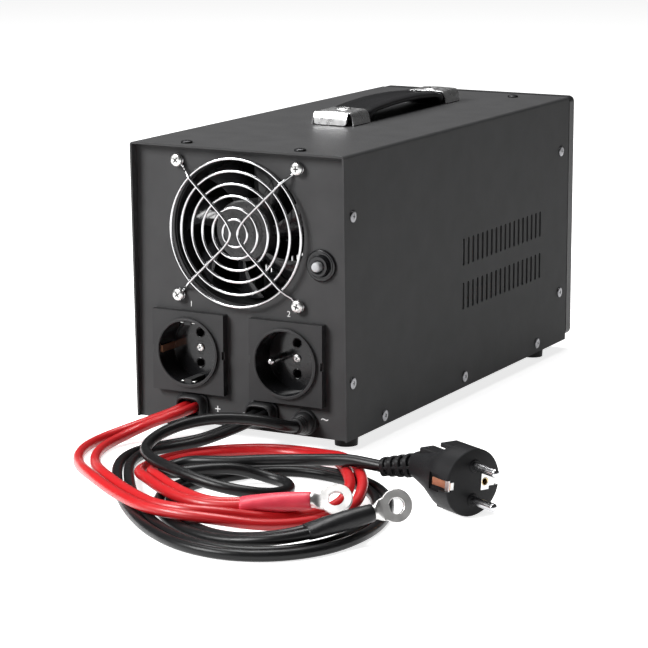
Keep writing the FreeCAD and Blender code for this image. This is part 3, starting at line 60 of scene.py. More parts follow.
FAN = middle("fan_shaft")
BREAKER = middle("breaker_button")
OUTLETS = {"left": middle("socket_left_face"), "right": middle("socket_right_face")}
PLUS = middle("gland_positive")
MINUS = middle("gland_negative")
RELIEF = middle("mains_strain_relief")
FAN_SCREWS = 41.25  # from the fan's axis to each of its screws, across and up
WELL_FLOOR = -10.5  # the floor of an outlet's well, from the panel
FILM = 0.03  # the thickness of a printed sign


def linked(name, data):
    """A new object in the scene."""
    made = bpy.data.objects.new(name, data)
    bpy.context.scene.collection.objects.link(made)
    return made


# ---------------------------------------------------------------- camera

LENS, SENSOR = 140.7, 36
EYE = (0.7512, -1.4563, 0.3834)
AZIMUTH, ELEVATION, ROLL = math.radians(28.245), math.radians(11.757), math.radians(-0.149)

camera_data = bpy.data.cameras.new("camera")
camera_data.lens = LENS
camera_data.sensor_width = SENSOR
camera_data.clip_end = 20
camera = linked("camera", camera_data)
aim = Matrix.Rotation(AZIMUTH, 4, "Z") @ Matrix.Rotation(math.pi / 2 - ELEVATION, 4, "X")
camera.matrix_world = Matrix.Translation(EYE) @ aim @ Matrix.Rotation(ROLL, 4, "Z")
bpy.context.scene.camera = camera


# ---------------------------------------------------------------- materials

def nodes_of(name):
    """A new material with its nodes, its links and its shader."""
    made = bpy.data.materials.new(name)
    made.use_nodes = True
    tree = made.node_tree
    return made, tree.nodes, tree.links, tree.nodes["Principled BSDF"]


def noise(nodes, links, scale, detail=4.0, stretch=None):
    """A noise field in metres, stretched along an axis if asked."""
    place = nodes.new("ShaderNodeTexCoord")
    field = nodes.new("ShaderNodeTexNoise")
    field.inputs["Scale"].default_value = scale
    field.inputs["Detail"].default_value = detail
    if stretch:
        mapping = nodes.new("ShaderNodeMapping")
        mapping.inputs["Scale"].default_value = stretch
        links.new(place.outputs["Object"], mapping.inputs["Vector"])
        links.new(mapping.outputs["Vector"], field.inputs["Vector"])
    else:
        links.new(place.outputs["Object"], field.inputs["Vector"])
    return field.outputs["Fac"]


def ranged(nodes, links, source, low, high, from_low=0.3, from_high=0.7):
    made = nodes.new("ShaderNodeMapRange")
    made.inputs["From Min"].default_value = from_low
    made.inputs["From Max"].default_value = from_high
    made.inputs["To Min"].default_value = low
    made.inputs["To Max"].default_value = high
    links.new(source, made.inputs["Value"])
    return made.outputs["Result"]


def blended(nodes, links, source, first, second):
    made = nodes.new("ShaderNodeMix")
    made.data_type = "RGBA"
    made.inputs["A"].default_value = (*first, 1)
    made.inputs["B"].default_value = (*second, 1)
    links.new(source, made.inputs["Factor"])
    return made.outputs["Result"]


def finish(name, colour, rough, metal=0.0, vary=0.15, patch=60, grain=900, bump=0.2, depth=0.1, coat=0.0,
           rough_vary=0.06, stretch=None, specular=0.5):
    """A finish whose colour drifts over patches, with a fine grain in its height and its roughness."""
    made, nodes, links, shader = nodes_of(name)
    cloud = noise(nodes, links, patch, 3, stretch)
    darker = [channel * (1 - vary) for channel in colour]
    lighter = [min(1, channel * (1 + vary)) for channel in colour]
    share = ranged(nodes, links, cloud, 0, 1)
    links.new(blended(nodes, links, share, darker, lighter), shader.inputs["Base Color"])
    fine = noise(nodes, links, grain, 5, stretch)
    links.new(ranged(nodes, links, fine, rough - rough_vary, rough + rough_vary), shader.inputs["Roughness"])
    height = nodes.new("ShaderNodeBump")
    height.inputs["Strength"].default_value = bump
    height.inputs["Distance"].default_value = depth * MM
    links.new(fine, height.inputs["Height"])
    links.new(height.outputs["Normal"], shader.inputs["Normal"])
    shader.inputs["Metallic"].default_value = metal
    shader.inputs["Coat Weight"].default_value = coat
    shader.inputs["Specular IOR Level"].default_value = specular
    return made


COAT = finish("powder_coat", (0.062, 0.062, 0.063), 0.5, vary=0.06, grain=1500, bump=0.3, specular=0.04)
TRIM = finish("moulded_black", (0.022, 0.022, 0.023), 0.42, vary=0.12, grain=1100, bump=0.12, specular=0.25)
OUTLET = finish("outlet_black", (0.036, 0.036, 0.037), 0.42, vary=0.08, grain=1400, bump=0.1, specular=0.18)
GLOSS = finish("gloss_black", (0.01, 0.01, 0.011), 0.16, vary=0.2, grain=500, bump=0.02, specular=0.35)
HUB = finish("hub_black", (0.05, 0.05, 0.051), 0.3, vary=0.12, grain=700, bump=0.04, specular=0.3)
GREY = finish("light_grey_plastic", (0.42, 0.43, 0.44), 0.42, vary=0.06, grain=1200, bump=0.1)
RUBBER = finish("rubber", (0.016, 0.016, 0.016), 0.5, vary=0.2, grain=1300, bump=0.3, specular=0.2)
GRIP = finish("grip_rubber", (0.012, 0.012, 0.013), 0.34, vary=0.15, grain=900, bump=0.08, specular=0.3)
RED_PVC = finish("red_pvc", (0.48, 0.01, 0.013), 0.36, vary=0.06, patch=35, grain=450, bump=0.02, coat=0.1)
BLACK_PVC = finish("black_pvc", (0.008, 0.008, 0.0085), 0.34, vary=0.15, patch=40, grain=450, bump=0.02,
                   specular=0.25)
RED_SLEEVE = finish("red_sleeve", (0.64, 0.045, 0.075), 0.42, vary=0.08, patch=90, grain=300, bump=0.15)
BLACK_SLEEVE = finish("black_sleeve", (0.012, 0.012, 0.013), 0.4, vary=0.15, patch=90, grain=300, bump=0.15,
                      specular=0.25)
RED_ROCKER = finish("red_rocker", (0.5, 0.015, 0.015), 0.3, vary=0.06, grain=900, bump=0.06)
CHROME = finish("chrome", (0.55, 0.55, 0.56), 0.2, 1.0, vary=0.03, grain=350, bump=0.01, depth=0.03,
                rough_vary=0.04)
STAMPED = finish("stamped_chrome", (0.92, 0.92, 0.92), 0.3, 1.0, vary=0.02, grain=260, bump=0.02, depth=0.03)
ZINC = finish("zinc", (0.62, 0.62, 0.61), 0.32, 1.0, vary=0.06, grain=600, bump=0.03, depth=0.03)
NICKEL = finish("dark_nickel", (0.22, 0.22, 0.23), 0.3, 1.0, vary=0.08, grain=600, bump=0.04)
BLACKED = finish("blacked_steel", (0.03, 0.03, 0.032), 0.36, 0.6, vary=0.1, grain=700, bump=0.05)
# A dark finish for a slab at the foot of each screw's recess: painted shade, not a part of the screw.
RECESS_PAINTED_SHADE = finish("recess_painted_shade", (0.05, 0.05, 0.052), 0.6, 0.3, vary=0.1, grain=900, bump=0.05)
TINNED = finish("tinned_copper", (0.66, 0.65, 0.64), 0.4, 1.0, vary=0.03, grain=160, bump=0.02, depth=0.02)
COPPER = finish("copper_strip", (0.6, 0.3, 0.18), 0.34, 1.0, vary=0.04, patch=30, grain=120, bump=0.01,
                depth=0.02)
BRASS = finish("turned_brass", (0.75, 0.58, 0.3), 0.3, 1.0, vary=0.08, grain=800, bump=0.06,
               stretch=(1, 1, 8))
ALUMINIUM = finish("extruded_aluminium", (0.62, 0.63, 0.65), 0.38, 1.0, vary=0.06, grain=700, bump=0.1,
                   stretch=(1, 0.1, 1))
PLUG = finish("plug_black", (0.013, 0.013, 0.014), 0.46, vary=0.12, grain=1000, bump=0.25, specular=0.14)
SCREEN = finish("smoked_window", (0.01, 0.014, 0.014), 0.08, vary=0.2, grain=200, bump=0.01, rough_vary=0.02)
SLEEVED = finish("capacitor_sleeve", (0.02, 0.03, 0.09), 0.32, vary=0.15, grain=400, bump=0.05)
INK = finish("white_print", (0.75, 0.75, 0.75), 0.6, vary=0.05, grain=1500, bump=0.05)


def board_material():
    """Green solder mask, with tracks showing through as paler lines."""
    made, nodes, links, shader = nodes_of("circuit_board")
    place = nodes.new("ShaderNodeTexCoord")
    tracks = nodes.new("ShaderNodeTexBrick")
    tracks.inputs["Scale"].default_value = 90
    tracks.inputs["Mortar Size"].default_value = 0.03
    tracks.inputs["Color1"].default_value = (0.01, 0.09, 0.035, 1)
    tracks.inputs["Color2"].default_value = (0.012, 0.11, 0.04, 1)
    tracks.inputs["Mortar"].default_value = (0.03, 0.19, 0.08, 1)
    links.new(place.outputs["Object"], tracks.inputs["Vector"])
    links.new(tracks.outputs["Color"], shader.inputs["Base Color"])
    shader.inputs["Roughness"].default_value = 0.32
    return made


def winding_material():
    """Enamelled wire wound round a ring core: fine ridges that fan out from its axis, with painted shade
    darkening the copper in the valleys between turns.
    """
    ridges = 220
    made, nodes, links, shader = nodes_of("copper_winding")
    centre = middle("transformer_core") * MM
    place = nodes.new("ShaderNodeTexCoord")
    mapping = nodes.new("ShaderNodeMapping")
    mapping.inputs["Location"].default_value = (-centre.x, -centre.y, 0)
    wave = nodes.new("ShaderNodeTexGradient")
    wave.gradient_type = "RADIAL"
    saw = nodes.new("ShaderNodeMath")
    saw.operation = "MULTIPLY"
    saw.inputs[1].default_value = ridges * 2 * math.pi
    ridge = nodes.new("ShaderNodeMath")
    ridge.operation = "SINE"
    links.new(place.outputs["Object"], mapping.inputs["Vector"])
    links.new(mapping.outputs["Vector"], wave.inputs["Vector"])
    links.new(wave.outputs["Fac"], saw.inputs[0])
    links.new(saw.outputs["Value"], ridge.inputs[0])
    share = ranged(nodes, links, ridge.outputs["Value"], 0, 1, -1, 1)
    # Darker copper in the valleys and lighter on the crests, following the ridges' height: painted shade
    # between the turns.
    copper = blended(nodes, links, share, (0.2, 0.05, 0.012), (0.5, 0.17, 0.05))
    links.new(copper, shader.inputs["Base Color"])
    height = nodes.new("ShaderNodeBump")
    height.inputs["Strength"].default_value = 0.6
    height.inputs["Distance"].default_value = 0.4 * MM
    links.new(ridge.outputs["Value"], height.inputs["Height"])
    links.new(height.outputs["Normal"], shader.inputs["Normal"])
    shader.inputs["Roughness"].default_value = 0.28
    return made


BOARD = board_material()
WINDING = winding_material()

CAD_FINISH = {
    COAT: ["base_tray", "rear_panel", "front_panel", "top_cover"],
    TRIM: ["front_bezel", "fan_frame", "breaker_body", "breaker_collar", "switch_frame", "gland_positive",
           "gland_negative", "mosfets", "mains_strain_relief"],
    OUTLET: ["socket_left_face", "socket_right_face"],
    GREY: ["breaker_button", "relays", "display_module"],
    RUBBER: ["rubber_feet", "transformer_pads"], GRIP: ["handle_grip"],
    ZINC: ["foot_screws", "fan_shaft", "fan_nuts", "transformer_clamp", "socket_left_screw",
           "socket_right_screw"],
    NICKEL: ["side_screws", "top_screws"],
    CHROME: ["handle_cap_rear", "handle_cap_front", "handle_screws", "fan_guard", "fan_screws",
             "socket_right_contacts", "plug_pins", "plug_earth_clips"],
    COPPER: ["socket_left_contacts"], BRASS: ["board_standoffs"], SCREEN: ["display_window"],
    RED_ROCKER: ["switch_rocker"], WINDING: ["transformer_core"], ALUMINIUM: ["heatsinks"],
    SLEEVED: ["capacitors"], BOARD: ["power_board", "control_board"], RED_PVC: ["transformer_leads"],
    BLACK_PVC: ["inner_leads"], TINNED: ["lug_positive", "lug_negative"], PLUG: ["plug_body"],
    GLOSS: ["fan_rotor"], RED_SLEEVE: ["sleeve_positive"], BLACK_SLEEVE: ["sleeve_negative"],
}
for material, names in CAD_FINISH.items():
    for name in names:
        for index in range(len(NODES[name].material_slots)):
            NODES[name].material_slots[index].material = material


# ---------------------------------------------------------------- mesh helpers

def rear(x, z, off=0.0):
    """Local X to the right, local Y up and local Z out of the rear panel."""
    basis = Matrix(((1, 0, 0), (0, 0, -1), (0, 1, 0))).to_4x4()
    return Matrix.Translation((x, PANEL_Y - off, z)) @ basis


def facing(origin, outward):
    """Local Z out of a surface at a point."""
    return Matrix.Translation(origin) @ Vector(outward).to_track_quat("Z", "Y").to_matrix().to_4x4()


def along(origin, axis, up):
    """Local X along an axis, local Z as near to an up direction as it can be."""
    x_axis = Vector(axis).normalized()
    y_axis = Vector(up).cross(x_axis).normalized()
    z_axis = x_axis.cross(y_axis)
    made = Matrix((x_axis, y_axis, z_axis)).transposed().to_4x4()
    return Matrix.Translation(origin) @ made


def piece(name, mesh, material, body="chassis", replaces=(), bevel=0.0, crease=35):
    """Links a mesh in millimetres as a piece in metres that rides on a body."""
    mesh.transform(Matrix.Scale(MM, 4))
    made = linked(name, mesh)
    mesh.materials.append(material)
    mesh.shade_smooth()
    mesh.set_sharp_from_angle(angle=math.radians(crease))
    if bevel:
        edge = made.modifiers.new("edge", "BEVEL")
        edge.width = bevel * MM
        edge.segments = 3
        edge.limit_method = "ANGLE"
        edge.angle_limit = math.radians(crease)
        edge.harden_normals = True
    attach(made, body)
    if replaces:
        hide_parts(*replaces)
    return made


def mesh_of(bm):
    """A mesh with its faces turned outward."""
    bmesh.ops.recalc_face_normals(bm, faces=bm.faces)
    mesh = bpy.data.meshes.new("mesh")
    bm.to_mesh(mesh)
    bm.free()
    return mesh


def loft(rings, bm=None, caps=True, close=False):
    """Quads between rings of points that all have the same count."""
    bm = bm or bmesh.new()
    rows = [[bm.verts.new(point) for point in ring] for ring in rings]
    count = len(rows[0])
    pairs = list(zip(rows, rows[1:])) + ([(rows[-1], rows[0])] if close else [])
    for lower, upper in pairs:
        for index in range(count):
            after = (index + 1) % count
            bm.faces.new((lower[index], lower[after], upper[after], upper[index]))
    if caps and not close:
        bm.faces.new(rows[0][::-1])
        bm.faces.new(rows[-1])
    return bm


def lathe(profile, place, steps=64, bm=None, caps=True):
    """Turns (radius, height) points round local Z."""
    rings = []
    for radius, height in profile:
        rings.append([place @ Vector((radius * math.cos(2 * math.pi * step / steps),
                                      radius * math.sin(2 * math.pi * step / steps), height))
                      for step in range(steps)])
    return loft(rings, bm, caps)


def block(size, place, bm=None):
    """A box about a place."""
    bm = bm or bmesh.new()
    bmesh.ops.create_cube(bm, size=1, matrix=place @ Matrix.Diagonal((*size, 1)))
    return bm


def torus(radius, wire, place, bm=None, steps=96, sides=12):
    """A ring of round wire about local Z."""
    rings = []
    for step in range(steps):
        angle = 2 * math.pi * step / steps
        outward = Vector((math.cos(angle), math.sin(angle), 0))
        rings.append([place @ (outward * (radius + wire * math.cos(2 * math.pi * side / sides))
                               + Vector((0, 0, wire * math.sin(2 * math.pi * side / sides))))
                      for side in range(sides)])
    return loft(rings, bm, caps=False, close=True)


def oval(wide, tall, steps=48, square=2.0):
    """Points of a superellipse, in local Y and Z."""
    points = []
    for step in range(steps):
        angle = 2 * math.pi * step / steps
        cosine, sine = math.cos(angle), math.sin(angle)
        points.append((math.copysign(abs(cosine) ** (2 / square), cosine) * wide,
                       math.copysign(abs(sine) ** (2 / square), sine) * tall))
    return points


def sections(stations, place, steps=48, bm=None):
    """A loft along local X; a station is (x, half width, half height, squareness, rise)."""
    rings = []
    for x, wide, tall, square, rise in stations:
        rings.append([place @ Vector((x, y, z + rise)) for y, z in oval(wide, tall, steps, square)])
    return loft(rings, bm)


def evaluated(thing):
    """The mesh that an object's modifiers or curve give."""
    bpy.context.view_layer.update()
    graph = bpy.context.evaluated_depsgraph_get()
    return bpy.data.meshes.new_from_object(thing.evaluated_get(graph))


def carved(mesh, cutter):
    """The mesh with a second one cut out of it."""
    target, tool = linked("target", mesh), linked("tool", cutter)
    cut = target.modifiers.new("cut", "BOOLEAN")
    cut.object = tool
    cut.solver = "EXACT"
    cut.use_self = True
    made = evaluated(target)
    bpy.data.objects.remove(target)
    bpy.data.objects.remove(tool)
    return made


def spline(name, points, radius, material, resolution=6, sides=4):
    """A round NURBS wire through the pull of its points, in millimetres."""
    curve = bpy.data.curves.new(name, "CURVE")
    curve.dimensions = "3D"
    curve.bevel_depth = radius * MM
    curve.bevel_resolution = sides
    curve.use_fill_caps = True
    line = curve.splines.new("NURBS")
    line.points.add(len(points) - 1)
    for target, point in zip(line.points, points):
        target.co = (point[0] * MM, point[1] * MM, point[2] * MM, 1)
    line.order_u = 3
    line.use_endpoint_u = True
    line.resolution_u = resolution
    made = linked(name, curve)
    curve.materials.append(material)
    return made


# ---------------------------------------------------------------- leads outside

# The middle route of each pair of battery leads, from its gland to its sleeve. A point is its place across,
# its place from the panel with outward negative, its height, and half the spacing of the two leads.
POSITIVE = [
    (-33.5, -3, 18.6, 3.3), (-33.5, -10.5, 18.6, 3.3), (-39, -18, 16, 3.3), (-50, -23, 11.5, 3.4),
    (-60, -31, 6.8, 4), (-66, -46, 3.8, 5), (-65, -64, 3.2, 5.4), (-58, -83, 3.2, 5.2), (-46, -101, 4, 4.8),
    (-30, -121, 7.5, 4.2), (-11, -140, 9.8, 3.8), (8, -155, 9.8, 3.8), (27, -168, 9.8, 3.8),
    (47, -179, 9.8, 4),
    (69, -182, 10.3, 5), (88, -175, 8.8, 7), (104, -163, 5, 8.5), (118, -148, 3.4, 7), (127, -130, 3.3, 6),
    (131, -111, 4.8, 4.5), (127, -93, 9.8, 3.6), (117, -75, 9.8, 3.6), (103, -55, 9.8, 3.6),
    (86, -37, 8.6, 3.6), (66, -25, 4.8, 3.6), (46, -20, 3.4, 3.6), (27, -25, 3.3, 3.6), (10, -37, 3.3, 3.6),
    (-3, -54, 3.3, 3.5), (-10, -74, 3.3, 3.5), (-9, -93, 3.6, 3.5), (1, -113, 7.2, 3.5),
    (16, -128, 9.8, 3.5), (32, -141, 9.8, 3.5), (50, -151.5, 9.4, 3.5), (67, -157.5, 9.2, 3.4),
    (80.2, -155.5, 9.2, 3.3), (89.5, -152, 10, 3.2)]
NEGATIVE = [
    (15.2, -3, 19, 3.3), (15.2, -10.5, 19, 3.3), (10, -18, 15.5, 3.3), (0, -24, 10.5, 3.3),
    (-12, -31, 5.5, 3.3), (-25, -41, 3.3, 3.4), (-33, -56, 3.2, 3.4), (-33, -74, 3.2, 3.4),
    (-26, -93, 3.2, 3.4), (-13, -114, 3.2, 3.4), (4, -138, 3.2, 3.4), (26, -165, 3.2, 3.4),
    (54, -192, 3.2, 3.4), (84, -211, 3.2, 3.4), (111, -216, 3.2, 3.4), (132, -210, 3.2, 3.4),
    (147, -197, 3.2, 3.4), (157, -178, 3.2, 3.4), (160, -155, 3.2, 3.4), (158, -132, 3.2, 3.4),
    (151, -109, 3.2, 3.4), (140, -87, 3.2, 3.4), (125, -70, 3.2, 3.4), (107, -59, 3.2, 3.4),
    (88, -54, 3.2, 3.4), (69, -54, 3.2, 3.4), (52, -63, 3.2, 3.4), (40, -79, 3.2, 3.4), (31, -98, 3.2, 3.4),
    (27, -119, 3.2, 3.4), (31, -140, 3.2, 3.4), (44, -160, 3.2, 3.4), (61.5, -177.5, 3.2, 3.4),
    (82, -190.5, 3.2, 3.4), (103, -196, 3.6, 3.4), (123, -196.5, 6.4, 3.4), (139.5, -191, 9.2, 3.3),
    (146, -183, 10.5, 3.2)]
# The mains lead, from its strain relief to its plug: across, from the panel, and up
MAINS = [
    (44.5, -14, 17), (42.5, -22, 18.8), (34, -29, 22.5), (19, -35, 24), (3, -42, 23.5), (-10, -53, 21),
    (-17, -69, 17.5), (-15, -87, 14.5), (-4, -102, 14), (13, -114, 13.8), (32, -122, 12.8), (52, -127, 10.5),
    (71, -125, 8), (84, -113, 5), (87, -97, 3.6), (78, -83, 3.6), (62, -81, 4.8), (49, -90, 10.2),
    (37, -100, 10.8), (23.6, -111, 9.6), (15.4, -111, 8.2), (8.9, -106.2, 7), (6.4, -98.5, 6.8),
    (8.9, -90.8, 7.6), (15.4, -86.2, 9.2), (26, -86, 10.4), (41, -83, 11.2), (53, -79, 12.5),
    (66.4, -75, 13.6), (81, -72, 14.8), (95, -68.5, 15.8), (109, -67, 17.1), (121, -67.2, 16.4),
    (130.5, -68, 16)]
# Where each sleeve and its lug, the plug and the plug's relief start, the way they point, and for lugs and
# the plug the way up
POSITIVE_END = ((89.5, -152, 10), (47, 17.5, 4.5), (0.33, -0.62, 0.71))
NEGATIVE_END = ((146, -183, 10.5), (32, 39.5, 8.5), (0.46, -0.86, 0.2))
PLUG_END = ((156.2, -68.9, 20.5), (0.913, -0.406, -0.035), (0.15, -0.02, 0.99))
CORD_END = ((130.5, -68, 16), (25.7, -0.9, 4.5))
LENGTHS = {"positive": (0.688, 0.759), "negative": (0.759, 0.818)}


def out(spot):
    """A point given from the panel, in the frame of the scene."""
    return Vector((spot[0], PANEL_Y + spot[1], spot[2]))


def pair(route):
    """Two leads side by side along a middle route, each half the spacing from it."""
    left, right = [], []
    for index, (x, y, z, half) in enumerate(route):
        before, after = route[max(index - 1, 0)], route[min(index + 1, len(route) - 1)]
        run_x, run_y = after[0] - before[0], after[1] - before[1]
        run = math.hypot(run_x, run_y)
        side_x, side_y = -run_y / run * half, run_x / run * half
        left.append((round(x + side_x, 2), round(y + side_y, 2), z))
        right.append((round(x - side_x, 2), round(y - side_y, 2), z))
    return left, right


def sleeve(name, end, material, node):
    """A shrink sleeve that follows two leads and closes round the barrel, with soft creases."""
    length, steps = 36, 12
    place = along(out(end[0]), end[1], (0, 0, 1))
    stations = [(-2.0, 6.7, 3.4, 2.2, 0), (-1.6, 7.0, 3.9, 2.2, 0), (0, 7.1, 4.1, 2.2, 0)]
    for step in range(1, steps + 1):
        share = step / steps
        ripple = 0.18 * math.sin(step * 2.1) * (1 - share)
        tall = 4.1 + 0.7 * math.sin(share * math.pi) + 0.7 * share
        stations.append((length * share, 7.1 - 2.3 * share + ripple, tall, 2.2 - 0.2 * share, 0))
    stations += [(length + 0.4, 4.5, 4.5, 2, 0), (length + 0.4, 4.05, 4.05, 2, 0)]
    return piece(name, mesh_of(sections(stations, place)), material, replaces=[node])


def ring_lug(name, end, node):
    """A crimped ring terminal: stamped eye and palm, flared out of a barrel."""
    place = along(out(end[0]), end[1], end[2])
    stations = [(19, 3.6, 3.6, 2, 0), (20, 4, 4, 2, 0), (37.4, 4, 4, 2, 0), (38.4, 4.3, 3.3, 2.1, 0),
                (39.6, 5.0, 2.1, 2.4, 0), (40.8, 5.6, 1.3, 3, 0), (42, 6.0, 1.1, 5, 0), (46, 6.6, 1.1, 8, 0)]
    piece(name + "_barrel", mesh_of(sections(stations, place)), TINNED, replaces=[node])
    eye, hole, rim, count = 50, 4.3, 8.95, 96
    neck_end, neck_half = 8.6, 6.0
    rings = []
    for share, rise in ((0.0, -0.8), (0.0, 0.8), (0.06, 1.1), (0.94, 1.1), (1.0, 0.8), (1.0, -0.8),
                        (0.94, -1.1), (0.06, -1.1)):
        ring = []
        for step in range(count):
            angle = 2 * math.pi * step / count - math.pi
            reach = rim
            if abs(angle) > math.radians(120):
                neck = min(neck_end / abs(math.cos(angle)), neck_half / max(1e-6, abs(math.sin(angle))))
                reach = max(reach, neck)
            radius = hole + (reach - hole) * share
            ring.append(place @ Vector((eye + radius * math.cos(angle), radius * math.sin(angle), rise)))
        rings.append(ring)
    return piece(name, mesh_of(loft(rings, caps=False, close=True)), TINNED, crease=40)


def plug_parts():
    """A moulded plug: waisted body with side guides, earth plate, clips, round-tipped pins and relief."""
    long, half, pin_at, pin, pin_long, earth_at = 42, 18.95, 9.5, 2.4, 17, 8
    place = along(out(PLUG_END[0]), PLUG_END[1], PLUG_END[2])
    face = place @ Matrix.Translation((long, 0, 0)) @ Matrix.Rotation(math.pi / 2, 4, "Y")
    earth_hole = face @ Matrix.Translation((0, earth_at, 0))
    stations = [(-3, 8.0, 7.0, 3.2, 0), (-2.6, 8.4, 7.4, 3.2, 0), (3, 9.6, 8.4, 3.2, 0),
                (9, 11.4, 9.6, 3.2, 0), (15, 13.6, 11.2, 3.0, 0), (21, 16.0, 14.0, 2.8, 0),
                (25, 17.6, 16.6, 2.5, 0), (28, 18.6, 18.4, 2.15, 0), (31, half, half, 2, 0),
                (41.2, half, half, 2, 0), (41.8, 18.6, 18.6, 2, 0), (long, 18.1, 18.1, 2, 0)]
    cutter = bmesh.new()
    for side in (-1, 1):
        block((36, 7, 6.4), place @ Matrix.Translation((44, side * 19.4, 0)), cutter)
        block((9, 6, 9.5), place @ Matrix.Translation((30, side * 19.4, 0)), cutter)
    lathe([(2.9, -16), (2.9, 2)], earth_hole, 24, cutter)
    body = carved(mesh_of(sections(stations, place, 64)), mesh_of(cutter))
    parts = [piece("plug_moulding", body, PLUG, replaces=["plug_body"], crease=30)]
    pins, collars = bmesh.new(), bmesh.new()
    for side in (-1, 1):
        spot = place @ Matrix.Translation((long, 0, side * pin_at)) @ Matrix.Rotation(math.pi / 2, 4, "Y")
        profile = [(pin, -2), (pin, pin_long)]
        profile += [(pin * math.cos(step * math.pi / 16), pin_long + 2.0 * math.sin(step * math.pi / 16))
                    for step in range(1, 8)]
        lathe(profile, spot, 32, pins)
        lathe([(3.7, -0.5), (3.7, 0.3), (3.3, 0.7), (2.42, 0.7)], spot, 32, collars)
    parts.append(piece("plug_contacts", mesh_of(pins), CHROME, replaces=["plug_pins"]))
    parts.append(piece("plug_pin_collars", mesh_of(collars), PLUG))
    earth = bmesh.new()
    block((0.5, 9.5, 5.4), place @ Matrix.Translation((42.1, 10.2, 0)), earth)
    block((0.5, 5.6, 9.2), place @ Matrix.Translation((42.1, 8.2, 0)), earth)
    bore = mesh_of(lathe([(2.35, -6), (2.35, 4)], earth_hole, 32))
    parts.append(piece("plug_earth_plate", carved(mesh_of(earth), bore), ZINC))
    bushing = lathe([(2.3, -13), (2.3, 0.25), (2.0, 0.45), (1.7, 0.3), (1.7, -13)], earth_hole, 32)
    parts.append(piece("plug_earth_bush", mesh_of(bushing), BRASS))
    strips, tabs = bmesh.new(), bmesh.new()
    for side in (-1, 1):
        block((15, 0.7, 4.2), place @ Matrix.Translation((34.4, side * 16.3, 0)), strips)
        block((3.2, 0.8, 6.2), place @ Matrix.Translation((40, side * 16.9, 0)), tabs)
        block((0.7, 2.2, 4.2), place @ Matrix.Translation((41.9, side * 15.4, 0)), tabs)
    parts.append(piece("plug_clips", mesh_of(strips), COPPER, replaces=["plug_earth_clips"], bevel=0.15))
    parts.append(piece("plug_clip_tabs", mesh_of(tabs), ZINC, bevel=0.15))
    grips = bmesh.new()
    block((17, 10, 3.4), place @ Matrix.Translation((10, 0, 9.4)), grips)
    block((13, 12, 2.6), place @ Matrix.Translation((26, 0, 16.9)), grips)
    block((13, 12, 2.6), place @ Matrix.Translation((26, 0, -16.9)), grips)
    parts.append(piece("plug_grips", mesh_of(grips), PLUG, bevel=0.7))
    parts.append(slotted_relief())
    return parts


def slotted_relief():
    """The plug's bend relief: a core, a row of collars and the webs between them that leave slots."""
    place = along(out(CORD_END[0]), CORD_END[1], (0, 0, 1))
    made = sections([(0, 3.8, 3.8, 2, 0), (0.4, 4.6, 4.4, 2.4, 0), (28, 5.6, 5.2, 2.6, 0)], place)
    collars = 5
    for step in range(collars):
        start, wide = 0.4 + 5.2 * step, 5.6 + 0.42 * step
        sections([(start, wide - 0.4, wide - 0.7, 3, 0), (start + 0.4, wide, wide - 0.3, 3, 0),
                  (start + 2.4, wide, wide - 0.3, 3, 0), (start + 2.8, wide - 0.4, wide - 0.7, 3, 0)],
                 place, bm=made)
        if step < collars - 1:
            for wide_at, tall_at, size in ((1, 0, (2.8, 1.4, 1.5)), (-1, 0, (2.8, 1.4, 1.5)),
                                           (0, 1, (2.8, 2.4, 1.4)), (0, -1, (2.8, 2.4, 1.4))):
                spot = Matrix.Translation((start + 4, wide_at * (wide - 0.7), tall_at * (wide - 1)))
                block(size, place @ spot, made)
    sections([(24.2, 7.0, 6.4, 3, 0), (24.6, 7.6, 7.0, 3, 0), (29, 8.3, 7.4, 3.2, 0)], place, bm=made)
    return piece("plug_relief", mesh_of(made), PLUG, bevel=0.2)


def leads():
    """The four battery leads and the mains lead, each with what is on it."""
    sleeves = {"positive": sleeve("sleeve_red", POSITIVE_END, RED_SLEEVE, "sleeve_positive"),
               "negative": sleeve("sleeve_black", NEGATIVE_END, BLACK_SLEEVE, "sleeve_negative")}
    lugs = {"positive": ring_lug("eye_red", POSITIVE_END, "lug_positive"),
            "negative": ring_lug("eye_black", NEGATIVE_END, "lug_negative")}
    for sign, route, material in (("positive", POSITIVE, RED_PVC), ("negative", NEGATIVE, BLACK_PVC)):
        for letter, points, length in zip("ab", pair(route), LENGTHS[sign]):
            line = spline(f"lead_{sign}_{letter}", [out(point) for point in points], 3.1, material, 10, 6)
            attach(line, "chassis")
            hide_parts(f"cable_{sign}_{letter}")
    plug = plug_parts()
    line = spline("lead_mains", [out(point) for point in MAINS], 3.4, BLACK_PVC, 10, 6)
    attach(line, "chassis")
    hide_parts("mains_cord")


leads()


# ---------------------------------------------------------------- fan

def guard():
    """Ring wires with two bent wires in front of them, and an eye round each screw."""
    wire, eye, eye_wire = 0.9, 3.2, 0.85
    place = rear(FAN.x, FAN.z)
    rings = bmesh.new()
    for radius in (44.9, 37.4, 29.8, 22.6, 15.4, 8.4):
        torus(radius, wire, place @ Matrix.Translation((0, 0, 4.2)), rings)
    for side_x in (-1, 1):
        for side_z in (-1, 1):
            corner = Matrix.Translation((side_x * FAN_SCREWS, side_z * FAN_SCREWS, wire))
            torus(eye, eye_wire, place @ corner, rings, 32, 10)
    piece("guard_rings", mesh_of(rings), CHROME, replaces=["fan_guard"])
    for side_x in (-1, 1):
        points = []
        for side_z in (-1, 1):
            path = [(38.9, 0.9, 38.9), (37, 1.1, 37.1), (34.5, 3.6, 34.8), (31, 5.6, 31.6), (2.5, 5.7, 4.5)]
            steps = []
            for first, second in zip(path, path[1:]):
                for share in (0, 0.5):
                    steps.append(Vector(first).lerp(Vector(second), share))
            steps.append(Vector(path[-1]))
            steps = steps[::-side_z]
            points += [(FAN.x + side_x * step.x, PANEL_Y - step.y, FAN.z + side_z * step.z) for step in steps]
        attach(spline(f"guard_wire_{'lr'[side_x > 0]}", points, wire, CHROME), "chassis")


